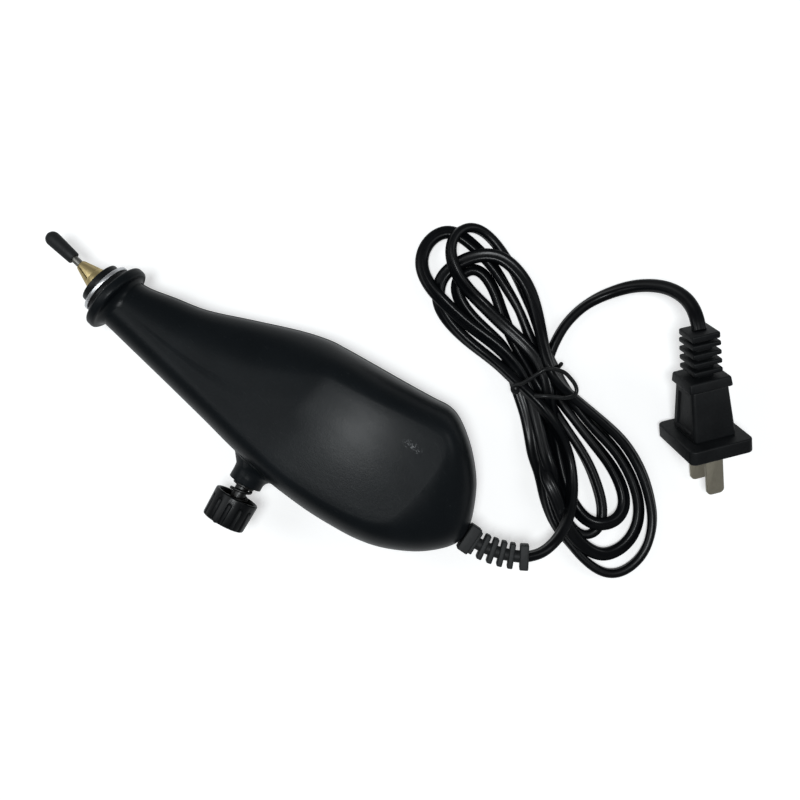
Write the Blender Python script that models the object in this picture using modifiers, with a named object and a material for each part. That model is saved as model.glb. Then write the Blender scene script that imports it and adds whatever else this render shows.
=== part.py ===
"""Electric engraving pen with its mains cord, as an assembly of separate pieces.

The pen lies flat on the underside of its lower shell. X runs from the needle's
tip towards the cord, Z is up, and the origin is on the table under the middle
of that flat face. Everything is in metres.
"""
import math

import bmesh
import bpy
from mathutils import Matrix, Vector

# The pen's own frame: the flange's middle plane on the needle's axis, seen from the origin
NOSE_X = -0.098
AXIS_Y = -0.019

# One gap between touching pieces, one overrun for every cut, one floor for rounded joints
CLEARANCE = 0.0003
OVERRUN = 0.002
MERGE = 0.00001

# Housing: two shells that part on the needle's plane
HOUSING_LENGTH = 0.1477
HOUSING_WIDTH = 0.0633
HALF_HEIGHT = 0.021
SHELL_WALL = 0.0022
SEAM_STEP = 0.0003
SEAM_GAP = 0.0003

# Each row is one station round the housing, from the nose along the high side, round the
# back and home along the low side: edge along and across, crown along and across, rise.
# Along is a share of the length, across a share of the width, rise a share of half the height.
STATION_SHARES = [
    (0.000, 0.148, 0.000, 0.013, 0.445),
    (0.041, 0.166, 0.041, 0.016, 0.475),
    (0.101, 0.223, 0.108, 0.035, 0.530),
    (0.178, 0.295, 0.196, 0.071, 0.620),
    (0.273, 0.427, 0.298, 0.142, 0.740),
    (0.375, 0.567, 0.393, 0.269, 0.870),
    (0.441, 0.640, 0.460, 0.395, 0.955),
    (0.490, 0.673, 0.508, 0.482, 1.000),
    (0.562, 0.714, 0.582, 0.537, 1.000),
    (0.647, 0.761, 0.657, 0.589, 1.000),
    (0.718, 0.803, 0.724, 0.637, 1.000),
    (0.766, 0.832, 0.772, 0.664, 1.000),
    (0.808, 0.815, 0.799, 0.673, 1.000),
    (0.868, 0.744, 0.819, 0.640, 1.000),
    (0.923, 0.646, 0.833, 0.569, 1.000),
    (0.957, 0.555, 0.840, 0.490, 1.000),
    (0.988, 0.442, 0.843, 0.411, 1.000),
    (1.000, 0.362, 0.843, 0.348, 1.000),
    (0.998, 0.296, 0.842, 0.292, 1.000),
    (0.978, 0.209, 0.840, 0.229, 1.000),
    (0.938, 0.104, 0.833, 0.158, 1.000),
    (0.875, -0.002, 0.809, 0.098, 1.000),
    (0.814, -0.066, 0.768, 0.054, 1.000),
    (0.747, -0.107, 0.724, 0.019, 1.000),
    (0.678, -0.138, 0.664, -0.013, 1.000),
    (0.581, -0.163, 0.582, -0.041, 1.000),
    (0.508, -0.167, 0.521, -0.041, 0.985),
    (0.431, -0.166, 0.447, -0.032, 0.930),
    (0.357, -0.160, 0.366, -0.025, 0.840),
    (0.237, -0.155, 0.244, -0.019, 0.690),
    (0.113, -0.150, 0.115, -0.016, 0.540),
    (0.041, -0.147, 0.041, -0.013, 0.475),
    (0.000, -0.147, 0.000, -0.013, 0.445),
]
ROUTE_POINTS_A_SPAN = 10
OUTER_STATION_STEPS = 2
OUTER_ARC_STEPS = 6
INNER_STATION_STEPS = 1
INNER_ARC_STEPS = 4

# Nose: flange, spigot and bore of the two shells
FLANGE_RADIUS = 0.0132
FLANGE_FRONT = -0.0024
FLANGE_BACK = 0.0013
FLANGE_ROUND = 0.0012
NECK_RADIUS = 0.0090
NECK_FILLET = 0.0036
SPIGOT_RADIUS = 0.0074
SPIGOT_FRONT = -0.0060
NOSE_BORE_RADIUS = 0.0061
NOSE_SOLID_LENGTH = 0.0140

# Rings on the spigot and the cap that holds them
RING_BORE_RADIUS = SPIGOT_RADIUS + CLEARANCE
WASHER_RADIUS = 0.0093
WASHER_THICKNESS = 0.0018
CLAMP_RING_RADIUS = 0.0098
CLAMP_RING_THICKNESS = 0.0011
NOSE_CAP_RADIUS = 0.0080
NOSE_CAP_THICKNESS = 0.0026
NOSE_CAP_ROUND = 0.0007
NOSE_CAP_BORE_RADIUS = 0.0052
NOSE_CAP_SLEEVE_LENGTH = 0.0040

# Moving shaft, its bushes and its return spring
SHAFT_RADIUS = 0.0025
SHAFT_FRONT = -0.0072
SHAFT_COLLAR_RADIUS = 0.0045
SHAFT_COLLAR_FRONT = 0.0283
SHAFT_COLLAR_LENGTH = 0.0020
SHAFT_HEAD_RADIUS = 0.0040
SHAFT_HEAD_LENGTH = 0.0020
SHAFT_PIN_RADIUS = 0.0015
STROKE = 0.0006
BUSH_BORE_RADIUS = SHAFT_RADIUS + CLEARANCE
FRONT_BUSH_LENGTH = 0.0136
FRONT_BUSH_FRONT = -0.0006
REAR_BUSH_RADIUS = 0.0055
REAR_BUSH_LENGTH = 0.0070
REAR_BUSH_SHARE = 0.35207
REAR_BUSH_MIDDLE = REAR_BUSH_SHARE * HOUSING_LENGTH
REAR_BUSH_WEB = 0.0040
SHAFT_NUT_RADIUS = 0.0032
SHAFT_NUT_LENGTH = 0.0020
RETURN_SPRING_RADIUS = 0.0036
RETURN_SPRING_WIRE = 0.0008
RETURN_SPRING_TURNS = 6

# Chuck, needle and the soft cap on its point
NEEDLE_RADIUS = 0.0014
NEEDLE_FIT = 0.0001
NEEDLE_TIP = -0.0330
NEEDLE_POINT_LENGTH = 0.0030
NEEDLE_POINT_SHARE = 0.12
CHUCK_FRONT = -0.0179
CHUCK_LIP = 0.00025
CHUCK_RADIUS = 0.0047
CHUCK_SHOULDER = -0.0087
CHUCK_BACK = -0.0012
CHUCK_STEP = -0.0075
CAP_OPEN_END = -0.0212
CAP_CLOSED_END = -0.0348
CAP_OPEN_RADIUS = 0.0023
CAP_BULB_RADIUS = 0.00285

# Armature: a steel lever on a pin, moved by the magnet
ARMATURE_SHARE = 0.47393
ARMATURE_FRONT = ARMATURE_SHARE * HOUSING_LENGTH
PIVOT_SETBACK = 0.0002
PIVOT_X = ARMATURE_FRONT + PIVOT_SETBACK
PIVOT_SHARE = 0.54028
PIVOT_Y = PIVOT_SHARE * HOUSING_WIDTH
PIVOT_RADIUS = 0.0015
KNUCKLE_RADIUS = 0.0026
ARMATURE_THICKNESS = 0.0025
ARMATURE_FOOT_Y = -0.0063
ARMATURE_HALF_WIDTH = 0.0062
ARMATURE_SLOT_RADIUS = 0.0021

# Magnet: E-shaped core between two side plates, one coil on the middle leg
AIR_GAP = 0.0013
CORE_FRONT = ARMATURE_FRONT + ARMATURE_THICKNESS + AIR_GAP
CORE_DEPTH_SHARE = 0.20447
CORE_DEPTH = CORE_DEPTH_SHARE * HOUSING_LENGTH
CORE_LOW_SHARE = 0.11058
CORE_LOW_Y = CORE_LOW_SHARE * HOUSING_WIDTH
CORE_HEIGHT_SHARE = 0.47393
CORE_HEIGHT = CORE_HEIGHT_SHARE * HOUSING_WIDTH
CORE_LIMB = CORE_HEIGHT / 6
CORE_MIDDLE_LIMB = CORE_HEIGHT / 3
CORE_HALF_STACK = 0.0070
PLATE_THICKNESS = 0.0010
PLATE_EAR_RADIUS = 0.0034
BOBBIN_WALL = 0.0008
BOBBIN_FLANGE = 0.0010
BOBBIN_HALF_HEIGHT = 0.0122
WINDING_ROUND = 0.0016
MAGNET_SCREW_RADIUS = 0.0015
MAGNET_SCREW_HEAD_RADIUS = 0.0026
MAGNET_SCREW_HEAD = 0.0018
MAGNET_POST_RADIUS = 0.0028
MAGNET_PILOT_DEPTH = 0.0070

# Stroke adjuster: screw, knob and spring on a boss of the low side
ADJUSTER_SETBACK = 0.0080
ADJUSTER_X = ARMATURE_FRONT + ADJUSTER_SETBACK
ADJUSTER_SHARE = -0.27014
ADJUSTER_Y = ADJUSTER_SHARE * HOUSING_WIDTH
ADJUSTER_TILT = math.radians(13.4)
BOSS_RADIUS = 0.00615
BOSS_LENGTH = 0.0100
BOSS_FOOT_SETBACK = 0.0025
BOSS_FOOT_X = ADJUSTER_X - BOSS_FOOT_SETBACK
BOSS_FOOT_SHARE = -0.22907
BOSS_FOOT_Y = BOSS_FOOT_SHARE * HOUSING_WIDTH
BOSS_FOOT_RADIUS = 0.0102
BOSS_FOOT_HEIGHT = 0.0046
INSERT_RADIUS = 0.0040
INSERT_LENGTH = 0.0068
INSERT_RECESS = 0.0006
ADJUSTER_SCREW_RADIUS = 0.0025
ADJUSTER_SCREW_REACH = 0.0109
ADJUSTER_POINT_RADIUS = 0.0012
ADJUSTER_POINT_LENGTH = 0.0040
ADJUSTER_TRAVEL = 0.0016
KNOB_RIM = 0.0052
KNOB_HEIGHT = 0.0107
KNOB_RADIUS = 0.0082
KNOB_END_RADIUS = 0.0079
KNOB_WALL = 0.0014
KNOB_WEB = 0.0027
KNOB_ROUND = 0.0006
KNOB_FLUTES = 12
FLUTE_RADIUS = 0.0010
FLUTE_DEPTH = 0.0005
FLUTE_TOP = 0.0022
ADJUSTER_WASHER_RADIUS = 0.0048
ADJUSTER_WASHER_THICKNESS = 0.0008
ADJUSTER_SPRING_RADIUS = 0.0035
ADJUSTER_SPRING_WIRE = 0.0011
ADJUSTER_SPRING_TURNS = 3.5

# Screws that close the housing from below, as places in the pen's frame
SHELL_SCREW_PLACES = [
    (0.230 * HOUSING_LENGTH, 0.213 * HOUSING_WIDTH),
    (0.772 * HOUSING_LENGTH, 0.679 * HOUSING_WIDTH),
    (0.758 * HOUSING_LENGTH, 0.024 * HOUSING_WIDTH),
]
SHELL_SCREW_RADIUS = 0.0015
SHELL_SCREW_HEAD_RADIUS = 0.0028
SHELL_SCREW_HEAD = 0.0020
SHELL_SCREW_REACH = 0.0085
SHELL_SCREW_SEAT = 0.0090
UPPER_POST_RADIUS = 0.0034
LOWER_POST_RADIUS = 0.0045

# Strain relief at the back of the pen
RELIEF_STAND_OFF = 0.0009
RELIEF_X = HOUSING_LENGTH + RELIEF_STAND_OFF
RELIEF_SHARE = 0.36177
RELIEF_Y = RELIEF_SHARE * HOUSING_WIDTH
RELIEF_YAW_START = math.radians(7.0)
RELIEF_YAW_END = math.radians(43.0)
RELIEF_PITCH_END = math.radians(-14.0)
RELIEF_LENGTH = 0.0236
RELIEF_PLATE_WIDTH = 0.0103
RELIEF_PLATE_THICKNESS = 0.0031
RELIEF_STEP_WIDTH = 0.0088
RELIEF_STEP_THICKNESS = 0.0012
RELIEF_HEIGHT = 0.0078
RELIEF_RIBS = 4
RELIEF_RIB_WIDTH = 0.0098
RELIEF_RIB_THICKNESS = 0.0019
RELIEF_RIB_PITCH = 0.0034
RELIEF_FIRST_RIB = 0.0071
RELIEF_END_WIDTH = 0.0090
RELIEF_END_THICKNESS = 0.0032
RELIEF_CORE_RADIUS = 0.0027
RELIEF_NECK = 0.0060
RELIEF_ROUND = 0.0005

# Mains cord and what holds it inside the pen
CORD_RADIUS = 0.0021
LEAD_RADIUS = 0.0008
LEAD_SPREAD = 0.0011
CLAMP_SETBACK = 0.0167
CLAMP_X = HOUSING_LENGTH - CLAMP_SETBACK
CLAMP_SHARE = 0.33965
CLAMP_Y = CLAMP_SHARE * HOUSING_WIDTH
CLAMP_LENGTH = 0.0050
CLAMP_HALF_WIDTH = 0.0090
CLAMP_THICKNESS = 0.0018
CLAMP_SCREW_PLACE = 0.0064
CLAMP_SCREW_RADIUS = 0.0012
CLAMP_SCREW_HEAD_RADIUS = 0.0022
CLAMP_SCREW_HEAD = 0.0014
CLAMP_SCREW_REACH = 0.0080
SADDLE_LENGTH = 0.0067
SADDLE_HALF_WIDTH = 0.0094
INNER_CORD_REACH = 0.0070
INNER_CORD_END = CLAMP_X - INNER_CORD_REACH

# The cord lies on the table turned from the pen: its frame's X runs right in that view
CORD_FRAME_BACK = 0.0504
CORD_FRAME_X = NOSE_X + RELIEF_X - CORD_FRAME_BACK
CORD_FRAME_ASIDE = 0.0194
CORD_FRAME_Y = AXIS_Y + RELIEF_Y + CORD_FRAME_ASIDE
CORD_FRAME_TURN = math.radians(43.0)

# Hank: two layers of loops, drawn in at a waist that a wire tie holds
HANK_X = 0.0540
HANK_Y = 0.0067
HANK_TURN = math.radians(-62.0)
HANK_TURNS = 4
HANK_OPEN_POINTS = 2
HANK_STEP = 0.0052
HANK_UPPER_LOBE = 0.0613
HANK_LOWER_LOBE = 0.0666
HANK_HALF_WIDTH = 0.0070
HANK_LAYER = 0.0049
HANK_LIFT = 0.0062
HANK_WAIST_SHARE = 0.15
HANK_RISE_SHARE = 0.55
HANK_LEAST_GAP = 0.0004

# A quarter of the innermost loop, from the waist to the lobe's end: along and across
HANK_QUARTER_SHARES = [
    (0.000, 0.36),
    (0.230, 0.44),
    (0.540, 0.90),
    (0.820, 1.00),
    (0.925, 0.84),
    (0.982, 0.48),
    (1.000, 0.00),
]
HANK_LOOP_POINTS = 4 * (len(HANK_QUARTER_SHARES) - 1)
TIE_RADIUS = 0.0006

# Plug: two flat blades in a moulded body, propped on its flange and one blade's end
PLUG_X = 0.1107
PLUG_Y = -0.0153
PLUG_Z = 0.0138
PLUG_AXES = [(0.967, 0.229, -0.114), (0.195, -0.372, 0.908)]
PLUG_FLANGE_WIDTH = 0.0234
PLUG_FLANGE_HEIGHT = 0.0284
PLUG_FLANGE_THICKNESS = 0.0036
PLUG_CORNER = 0.0030
PLUG_EDGE = 0.0006
PLUG_BODY_LENGTH = 0.0202
PLUG_BODY_WIDTH = 0.0142
PLUG_BODY_HEIGHT = 0.0160
PLUG_NECK_WIDTH = 0.0128
PLUG_NECK_HEIGHT = 0.0092
PLUG_SHOULDER_WIDTH = 0.0158
PLUG_SHOULDER_HEIGHT = 0.0108
PLUG_SHOULDER_LENGTH = 0.0034
PLUG_PANEL_DEPTH = 0.0006
PLUG_PANEL_MARGIN = 0.0024
PLUG_RIBS = 4
PLUG_RIB_PITCH = 0.0033
PLUG_RIB_THICKNESS = 0.0018
PLUG_RIB_WIDTH = 0.0098
PLUG_RIB_HEIGHT = 0.0092
PLUG_END_WIDTH = 0.0095
PLUG_END_HEIGHT = 0.0088
PLUG_END_THICKNESS = 0.0023
PLUG_CORE_WIDTH = 0.0058
PLUG_CORE_HEIGHT = 0.0052
PLUG_RELIEF_LENGTH = 0.0168
BLADE_WIDTH = 0.00635
BLADE_THICKNESS = 0.0015
BLADE_LENGTH = 0.0172
BLADE_ROOT = 0.0060
BLADE_SPACING = 0.0127

COLLECTION_NAME = "electric_engraving_pen"
CUTTER_COLLECTION_NAME = "cutters_and_guides"
PARTS = None
CUTTERS = None


# Scene and object helpers

def clear_scene():
    for thing in list(bpy.data.objects):
        bpy.data.objects.remove(thing, do_unlink=True)


def new_collection(name):
    group = bpy.data.collections.new(name)
    bpy.context.scene.collection.children.link(group)
    return group


def make_material(name, colour, roughness, metallic=0.0):
    material = bpy.data.materials.new(name)
    material.use_nodes = True
    shader = material.node_tree.nodes["Principled BSDF"]
    shader.inputs["Base Color"].default_value = (*colour, 1.0)
    shader.inputs["Roughness"].default_value = roughness
    shader.inputs["Metallic"].default_value = metallic
    return material


def black_plastic(name):
    return make_material(name, (0.012, 0.013, 0.014), 0.42)


def black_rubber(name):
    return make_material(name, (0.022, 0.023, 0.023), 0.65)


def bright_steel(name):
    return make_material(name, (0.60, 0.60, 0.62), 0.22, 1.0)


def dark_steel(name):
    return make_material(name, (0.20, 0.20, 0.19), 0.40, 1.0)


def yellow_brass(name):
    return make_material(name, (0.58, 0.41, 0.14), 0.28, 1.0)


def add_empty(name, matrix, parent=None):
    empty = bpy.data.objects.new(name, None)
    bpy.context.scene.collection.objects.link(empty)
    empty.parent = parent
    empty.matrix_local = matrix
    return empty


def add_object(name, data, parent, material, matrix=None):
    thing = bpy.data.objects.new(name, data)
    PARTS.objects.link(thing)
    thing.parent = parent
    if matrix is not None:
        thing.matrix_local = matrix
    data.materials.append(material(name))
    return thing


def as_cutter(thing):
    PARTS.objects.unlink(thing)
    CUTTERS.objects.link(thing)
    thing.hide_render = True
    thing.display_type = "WIRE"
    return thing


def boolean(thing, operation, other):
    step = thing.modifiers.new(operation.title(), "BOOLEAN")
    step.operation = operation
    step.object = other
    return step


def smooth_round(thing, angle=0.6):
    thing.data.shade_smooth()
    thing.data.set_sharp_from_angle(angle=angle)


def welded_mesh(thing):
    """Give the object as its modifiers leave it, as a plain mesh object in its place."""
    bpy.context.view_layer.update()
    seen = thing.evaluated_get(bpy.context.evaluated_depsgraph_get())
    mesh = bpy.data.meshes.new_from_object(seen)
    work = bmesh.new()
    work.from_mesh(mesh)
    bmesh.ops.remove_doubles(work, verts=work.verts, dist=MERGE)
    work.to_mesh(mesh)
    work.free()
    name = thing.name
    plain = bpy.data.objects.new(name, mesh)
    for group in thing.users_collection:
        group.objects.link(plain)
    plain.parent = thing.parent
    plain.matrix_world = thing.matrix_world.copy()
    bpy.data.objects.remove(thing, do_unlink=True)
    plain.name = name
    return plain


# Curves and forms

def smooth_through(rows, points_a_span):
    """A Catmull-Rom curve through rows of numbers, with its ends kept."""
    rows = [Vector(row) for row in rows]
    padded = [2 * rows[0] - rows[1]] + rows + [2 * rows[-1] - rows[-2]]
    result = []
    for index in range(1, len(padded) - 2):
        before, start, end, after = padded[index - 1:index + 3]
        for step in range(points_a_span):
            t = step / points_a_span
            result.append(0.5 * (
                2 * start
                + (end - before) * t
                + (2 * before - 5 * start + 4 * end - after) * t * t
                + (3 * start - before - 3 * end + after) * t * t * t
            ))
    result.append(rows[-1])
    return result


def even_spacing(points, spacing):
    """Points a steady distance apart along a dense line, both ends kept."""
    lengths = [0.0]
    for first, second in zip(points, points[1:]):
        lengths.append(lengths[-1] + (second - first).length)
    count = max(2, round(lengths[-1] / spacing))
    result = []
    index = 0
    for step in range(count + 1):
        wanted = lengths[-1] * step / count
        while index < len(lengths) - 2 and lengths[index + 1] < wanted:
            index += 1
        span = lengths[index + 1] - lengths[index]
        share = (wanted - lengths[index]) / span if span > 0 else 0
        result.append(points[index].lerp(points[index + 1], share))
    return result


def free_line(route, spacing):
    """Points along a smooth line through a route, whose first and last spans stay straight."""
    dense = smooth_through(route, ROUTE_POINTS_A_SPAN)
    bend = dense[ROUTE_POINTS_A_SPAN:-ROUTE_POINTS_A_SPAN]
    return [dense[0]] + even_spacing(bend, spacing) + [dense[-1]]


def turned(name, profile, parent, material, along="X", steps=24, matrix=None):
    """Turn a profile of (radius, place) round a line, listed from its high end down the outside.

    A profile that starts and ends on the line is solid, any other is closed into a ring.
    """
    mesh = bpy.data.meshes.new(name)
    work = bmesh.new()
    verts = [work.verts.new((radius, 0, place)) for radius, place in profile]
    for first, second in zip(verts, verts[1:]):
        work.edges.new((first, second))
    if profile[0][0] > 0:
        work.edges.new((verts[-1], verts[0]))
    work.to_mesh(mesh)
    work.free()
    place = matrix or Matrix.Identity(4)
    if along == "X":
        place = place @ Matrix.Rotation(math.pi / 2, 4, "Y")
    thing = add_object(name, mesh, parent, material, place)
    screw = thing.modifiers.new("Turn", "SCREW")
    screw.axis = "Z"
    screw.angle = 2 * math.pi
    screw.steps = steps
    screw.render_steps = steps
    screw.use_merge_vertices = True
    screw.merge_threshold = MERGE
    screw.use_smooth_shade = False
    return thing


def tube(name, points, radius, parent, material, resolution=2):
    curve = bpy.data.curves.new(name, "CURVE")
    curve.dimensions = "3D"
    curve.bevel_depth = radius
    curve.bevel_resolution = resolution
    curve.use_fill_caps = True
    curve.twist_mode = "MINIMUM"
    spline = curve.splines.new("POLY")
    spline.points.add(len(points) - 1)
    for point, place in zip(spline.points, points):
        point.co = (*place, 1)
    return add_object(name, curve, parent, material)


def flat_piece(name, outlines, half_thickness, parent, material, matrix=None):
    """An extruded outline with its holes, each a list of (x, y) places."""
    curve = bpy.data.curves.new(name, "CURVE")
    curve.dimensions = "2D"
    curve.fill_mode = "BOTH"
    curve.extrude = half_thickness
    for outline in outlines:
        spline = curve.splines.new("POLY")
        spline.points.add(len(outline) - 1)
        for point, (x, y) in zip(spline.points, outline):
            point.co = (x, y, 0, 1)
        spline.use_cyclic_u = True
    return add_object(name, curve, parent, material, matrix)


def circle_outline(x, y, radius, count=20, start=0, end=2 * math.pi):
    steps = count if end - start >= 2 * math.pi else count + 1
    turn = (end - start) / count
    places = []
    for step in range(steps):
        angle = start + turn * step
        places.append((x + radius * math.cos(angle), y + radius * math.sin(angle)))
    return places


def block(name, low, high, parent, material, matrix=None, rounding=0, segments=2):
    mesh = bpy.data.meshes.new(name)
    work = bmesh.new()
    bmesh.ops.create_cube(work, size=1)
    middle = (Vector(low) + Vector(high)) / 2
    size = Vector(high) - Vector(low)
    for vert in work.verts:
        vert.co = Vector(a * b for a, b in zip(vert.co, size)) + middle
    work.to_mesh(mesh)
    work.free()
    thing = add_object(name, mesh, parent, material, matrix)
    if rounding:
        bevel = thing.modifiers.new("Rounded", "BEVEL")
        bevel.width = rounding
        bevel.segments = segments
        bevel.limit_method = "NONE"
    return thing


def rod(name, radius, low, high, parent, material, x=0, y=0, sides=20, matrix=None):
    """A cylinder along Z between two heights."""
    mesh = bpy.data.meshes.new(name)
    work = bmesh.new()
    lift = Matrix.Translation((x, y, (low + high) / 2))
    bmesh.ops.create_cone(
        work, cap_ends=True, segments=sides, radius1=radius, radius2=radius,
        depth=high - low, matrix=lift,
    )
    work.to_mesh(mesh)
    work.free()
    return add_object(name, mesh, parent, material, matrix)


def helix(radius, start, end, turns, points_a_turn=10):
    """Points of a spring along Z, whose end turns lie closer than the rest."""
    count = round(turns * points_a_turn)
    places = []
    for step in range(count + 1):
        share = step / count
        eased = share - math.sin(2 * math.pi * share) / (4 * math.pi)
        angle = 2 * math.pi * turns * share
        height = start + (end - start) * eased
        places.append((radius * math.cos(angle), radius * math.sin(angle), height))
    return places


def screw_profile(radius, head_radius, head, reach, point_share=0.5):
    """A pan-headed screw down from its head, whose seat is at zero."""
    return [
        (0, head),
        (0.7 * head_radius, head),
        (head_radius, head / 2),
        (head_radius, 0),
        (radius, 0),
        (radius, radius - reach),
        (point_share * radius, -reach),
        (0, -reach),
    ]


# Housing

def housing_rows(points_a_span):
    rows = []
    for share in smooth_through(STATION_SHARES, points_a_span):
        edge_x, edge_y, crown_x, crown_y, rise = share
        rows.append((
            Vector((edge_x * HOUSING_LENGTH, edge_y * HOUSING_WIDTH)),
            Vector((crown_x * HOUSING_LENGTH, crown_y * HOUSING_WIDTH)),
            min(rise, 1.0) * HALF_HEIGHT,
        ))
    return rows


def housing_form(name, inset, points_a_span, arc_steps, parent):
    """The closed body between the two crowns, each side a run of quarter ellipses.

    An inset above zero moves every wall in, and one below zero moves the edge out.
    """
    rows = housing_rows(points_a_span)
    edges = []
    for index, (edge, crown, rise) in enumerate(rows):
        before = rows[max(index - 1, 0)][0]
        after = rows[min(index + 1, len(rows) - 1)][0]
        run = (after - before).normalized()
        if index in (0, len(rows) - 1):
            run = Vector((1 if index == 0 else -1, 0))
        inward = Vector((run.y, -run.x))
        edges.append(edge + inward * inset)
    work = bmesh.new()
    rings = []
    for step in range(-arc_steps, arc_steps + 1):
        angle = math.pi / 2 * step / arc_steps
        ring = []
        for edge, (_, crown, rise) in zip(edges, rows):
            height = (rise - max(inset, 0)) * math.sin(angle)
            place = crown.lerp(edge, math.cos(angle))
            ring.append(work.verts.new((place.x, place.y, height)))
        rings.append(ring)
    for low, high in zip(rings, rings[1:]):
        for index in range(len(low) - 1):
            work.faces.new((low[index], high[index], high[index + 1], low[index + 1]))
    for ring in (rings[0], rings[-1]):
        last = len(ring) - 1
        work.edges.new((ring[0], ring[last]))
        border = [work.edges.get((a, b)) for a, b in zip(ring, ring[1:])]
        border.append(work.edges.get((ring[0], ring[last])))
        bmesh.ops.triangle_fill(work, edges=border, use_beauty=True)
    nose = [ring[0] for ring in rings] + [ring[-1] for ring in reversed(rings)]
    work.faces.new(nose)
    bmesh.ops.recalc_face_normals(work, faces=work.faces)
    bmesh.ops.triangulate(work, faces=work.faces)
    mesh = bpy.data.meshes.new(name)
    work.to_mesh(mesh)
    work.free()
    return add_object(name, mesh, parent, black_plastic)


def flange_profile():
    """Spigot, rounded flange and the hollow curve that runs back into the neck."""
    fillet_end = FLANGE_BACK + NECK_FILLET
    profile = [(0, fillet_end), (NECK_RADIUS, fillet_end)]
    for step in range(1, 5):
        angle = math.pi / 2 * step / 5
        profile.append((
            NECK_RADIUS + (FLANGE_RADIUS - FLANGE_ROUND - NECK_RADIUS) * (1 - math.cos(angle)),
            fillet_end - NECK_FILLET * math.sin(angle),
        ))
    for step in range(5):
        angle = math.pi / 2 * step / 4
        profile.append((
            FLANGE_RADIUS - FLANGE_ROUND * (1 - math.sin(angle)),
            FLANGE_BACK - FLANGE_ROUND * (1 - math.cos(angle)),
        ))
    for step in range(5):
        angle = math.pi / 2 * step / 4
        profile.append((
            FLANGE_RADIUS - FLANGE_ROUND * (1 - math.cos(angle)),
            FLANGE_FRONT + FLANGE_ROUND * (1 - math.sin(angle)),
        ))
    profile += [(SPIGOT_RADIUS, FLANGE_FRONT), (SPIGOT_RADIUS, SPIGOT_FRONT), (0, SPIGOT_FRONT)]
    return profile


def boss_profile():
    """The adjuster's boss, its end at zero and the rest sunk into the housing."""
    return [(0, 0), (BOSS_RADIUS, 0), (BOSS_RADIUS, -BOSS_LENGTH), (0, -BOSS_LENGTH)]


def boss_foot_profile():
    """The hollow curve round the boss, from its wall out to the housing's side."""
    spread = BOSS_FOOT_RADIUS - BOSS_RADIUS
    profile = [(0, 0)]
    for step in range(7):
        angle = math.pi / 2 * step / 6
        profile.append((
            BOSS_RADIUS - CLEARANCE + spread * (1 - math.cos(angle)),
            -BOSS_FOOT_HEIGHT * math.sin(angle),
        ))
    profile.append((profile[-1][0], -BOSS_LENGTH))
    profile.append((0, -BOSS_LENGTH))
    return profile


def relief_matrix(distance):
    """The relief's own frame at a distance along its bent centre line, in the pen's frame."""
    place = Vector((RELIEF_X, RELIEF_Y, 0))
    steps = 24
    yaw = RELIEF_YAW_START
    pitch = 0.0
    for step in range(steps):
        share = (step + 0.5) / steps * max(distance, 0) / RELIEF_LENGTH
        yaw = RELIEF_YAW_START + (RELIEF_YAW_END - RELIEF_YAW_START) * share
        pitch = RELIEF_PITCH_END * share
        heading = Vector((
            math.cos(yaw) * math.cos(pitch), math.sin(yaw) * math.cos(pitch), math.sin(pitch),
        ))
        place += heading * distance / steps
    share = max(distance, 0) / RELIEF_LENGTH
    yaw = RELIEF_YAW_START + (RELIEF_YAW_END - RELIEF_YAW_START) * share
    pitch = RELIEF_PITCH_END * share
    turn = Matrix.Rotation(yaw, 4, "Z") @ Matrix.Rotation(-pitch, 4, "Y")
    return Matrix.Translation(place) @ turn


def housing_hollow(pen, adjuster):
    """The space inside the shells, less the webs, posts and saddle that stay solid."""
    hollow = housing_form(
        "housing_hollow", SHELL_WALL, INNER_STATION_STEPS, INNER_ARC_STEPS, pen,
    )
    far = HOUSING_WIDTH
    deep = HALF_HEIGHT
    web_low = REAR_BUSH_MIDDLE - REAR_BUSH_WEB / 2
    web_high = REAR_BUSH_MIDDLE + REAR_BUSH_WEB / 2
    keep = [
        block("nose_keep", (-far, -far, -deep), (NOSE_SOLID_LENGTH, far, deep), pen, black_plastic),
        block("web_keep", (web_low, -far, -deep), (web_high, far, deep), pen, black_plastic),
        rod("insert_keep", INSERT_RADIUS + SHELL_WALL, -INSERT_LENGTH - INSERT_RECESS - SHELL_WALL,
            OVERRUN, adjuster, black_plastic),
        block("saddle_keep",
              (CLAMP_X - SADDLE_LENGTH / 2, CLAMP_Y - SADDLE_HALF_WIDTH, -deep),
              (CLAMP_X + SADDLE_LENGTH / 2, CLAMP_Y + SADDLE_HALF_WIDTH, saddle_top()),
              pen, black_plastic),
        block("relief_keep",
              (-RELIEF_NECK / 2, -RELIEF_PLATE_WIDTH / 2 - SHELL_WALL, -RELIEF_HEIGHT),
              (0, RELIEF_PLATE_WIDTH / 2 + SHELL_WALL, RELIEF_HEIGHT),
              pen, black_plastic, relief_matrix(0)),
    ]
    for index, (x, y) in enumerate(SHELL_SCREW_PLACES):
        keep.append(rod(f"upper_post_keep_{index}", UPPER_POST_RADIUS, -OVERRUN, deep, pen,
                        black_plastic, x, y))
        keep.append(rod(f"lower_post_keep_{index}", LOWER_POST_RADIUS, -deep, 0, pen,
                        black_plastic, x, y))
    for index, (x, y) in enumerate(magnet_screw_places() + magnet_rest_places()):
        keep.append(rod(f"magnet_post_keep_{index}", MAGNET_POST_RADIUS, -deep,
                        magnet_post_top(), pen, black_plastic, x, y))
    for piece in keep:
        as_cutter(piece)
        boolean(hollow, "DIFFERENCE", piece)
    return as_cutter(hollow)


def saddle_top():
    return -CORD_RADIUS - CLEARANCE


def magnet_post_top():
    return -CORE_HALF_STACK - 2 * CLEARANCE - PLATE_THICKNESS


def magnet_screw_places():
    back = CORE_FRONT + CORE_DEPTH - CORE_LIMB / 2
    low = CORE_LOW_Y + CORE_LIMB / 2
    high = CORE_LOW_Y + CORE_HEIGHT - CORE_LIMB / 2
    return [(back, low), (back, high)]


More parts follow.
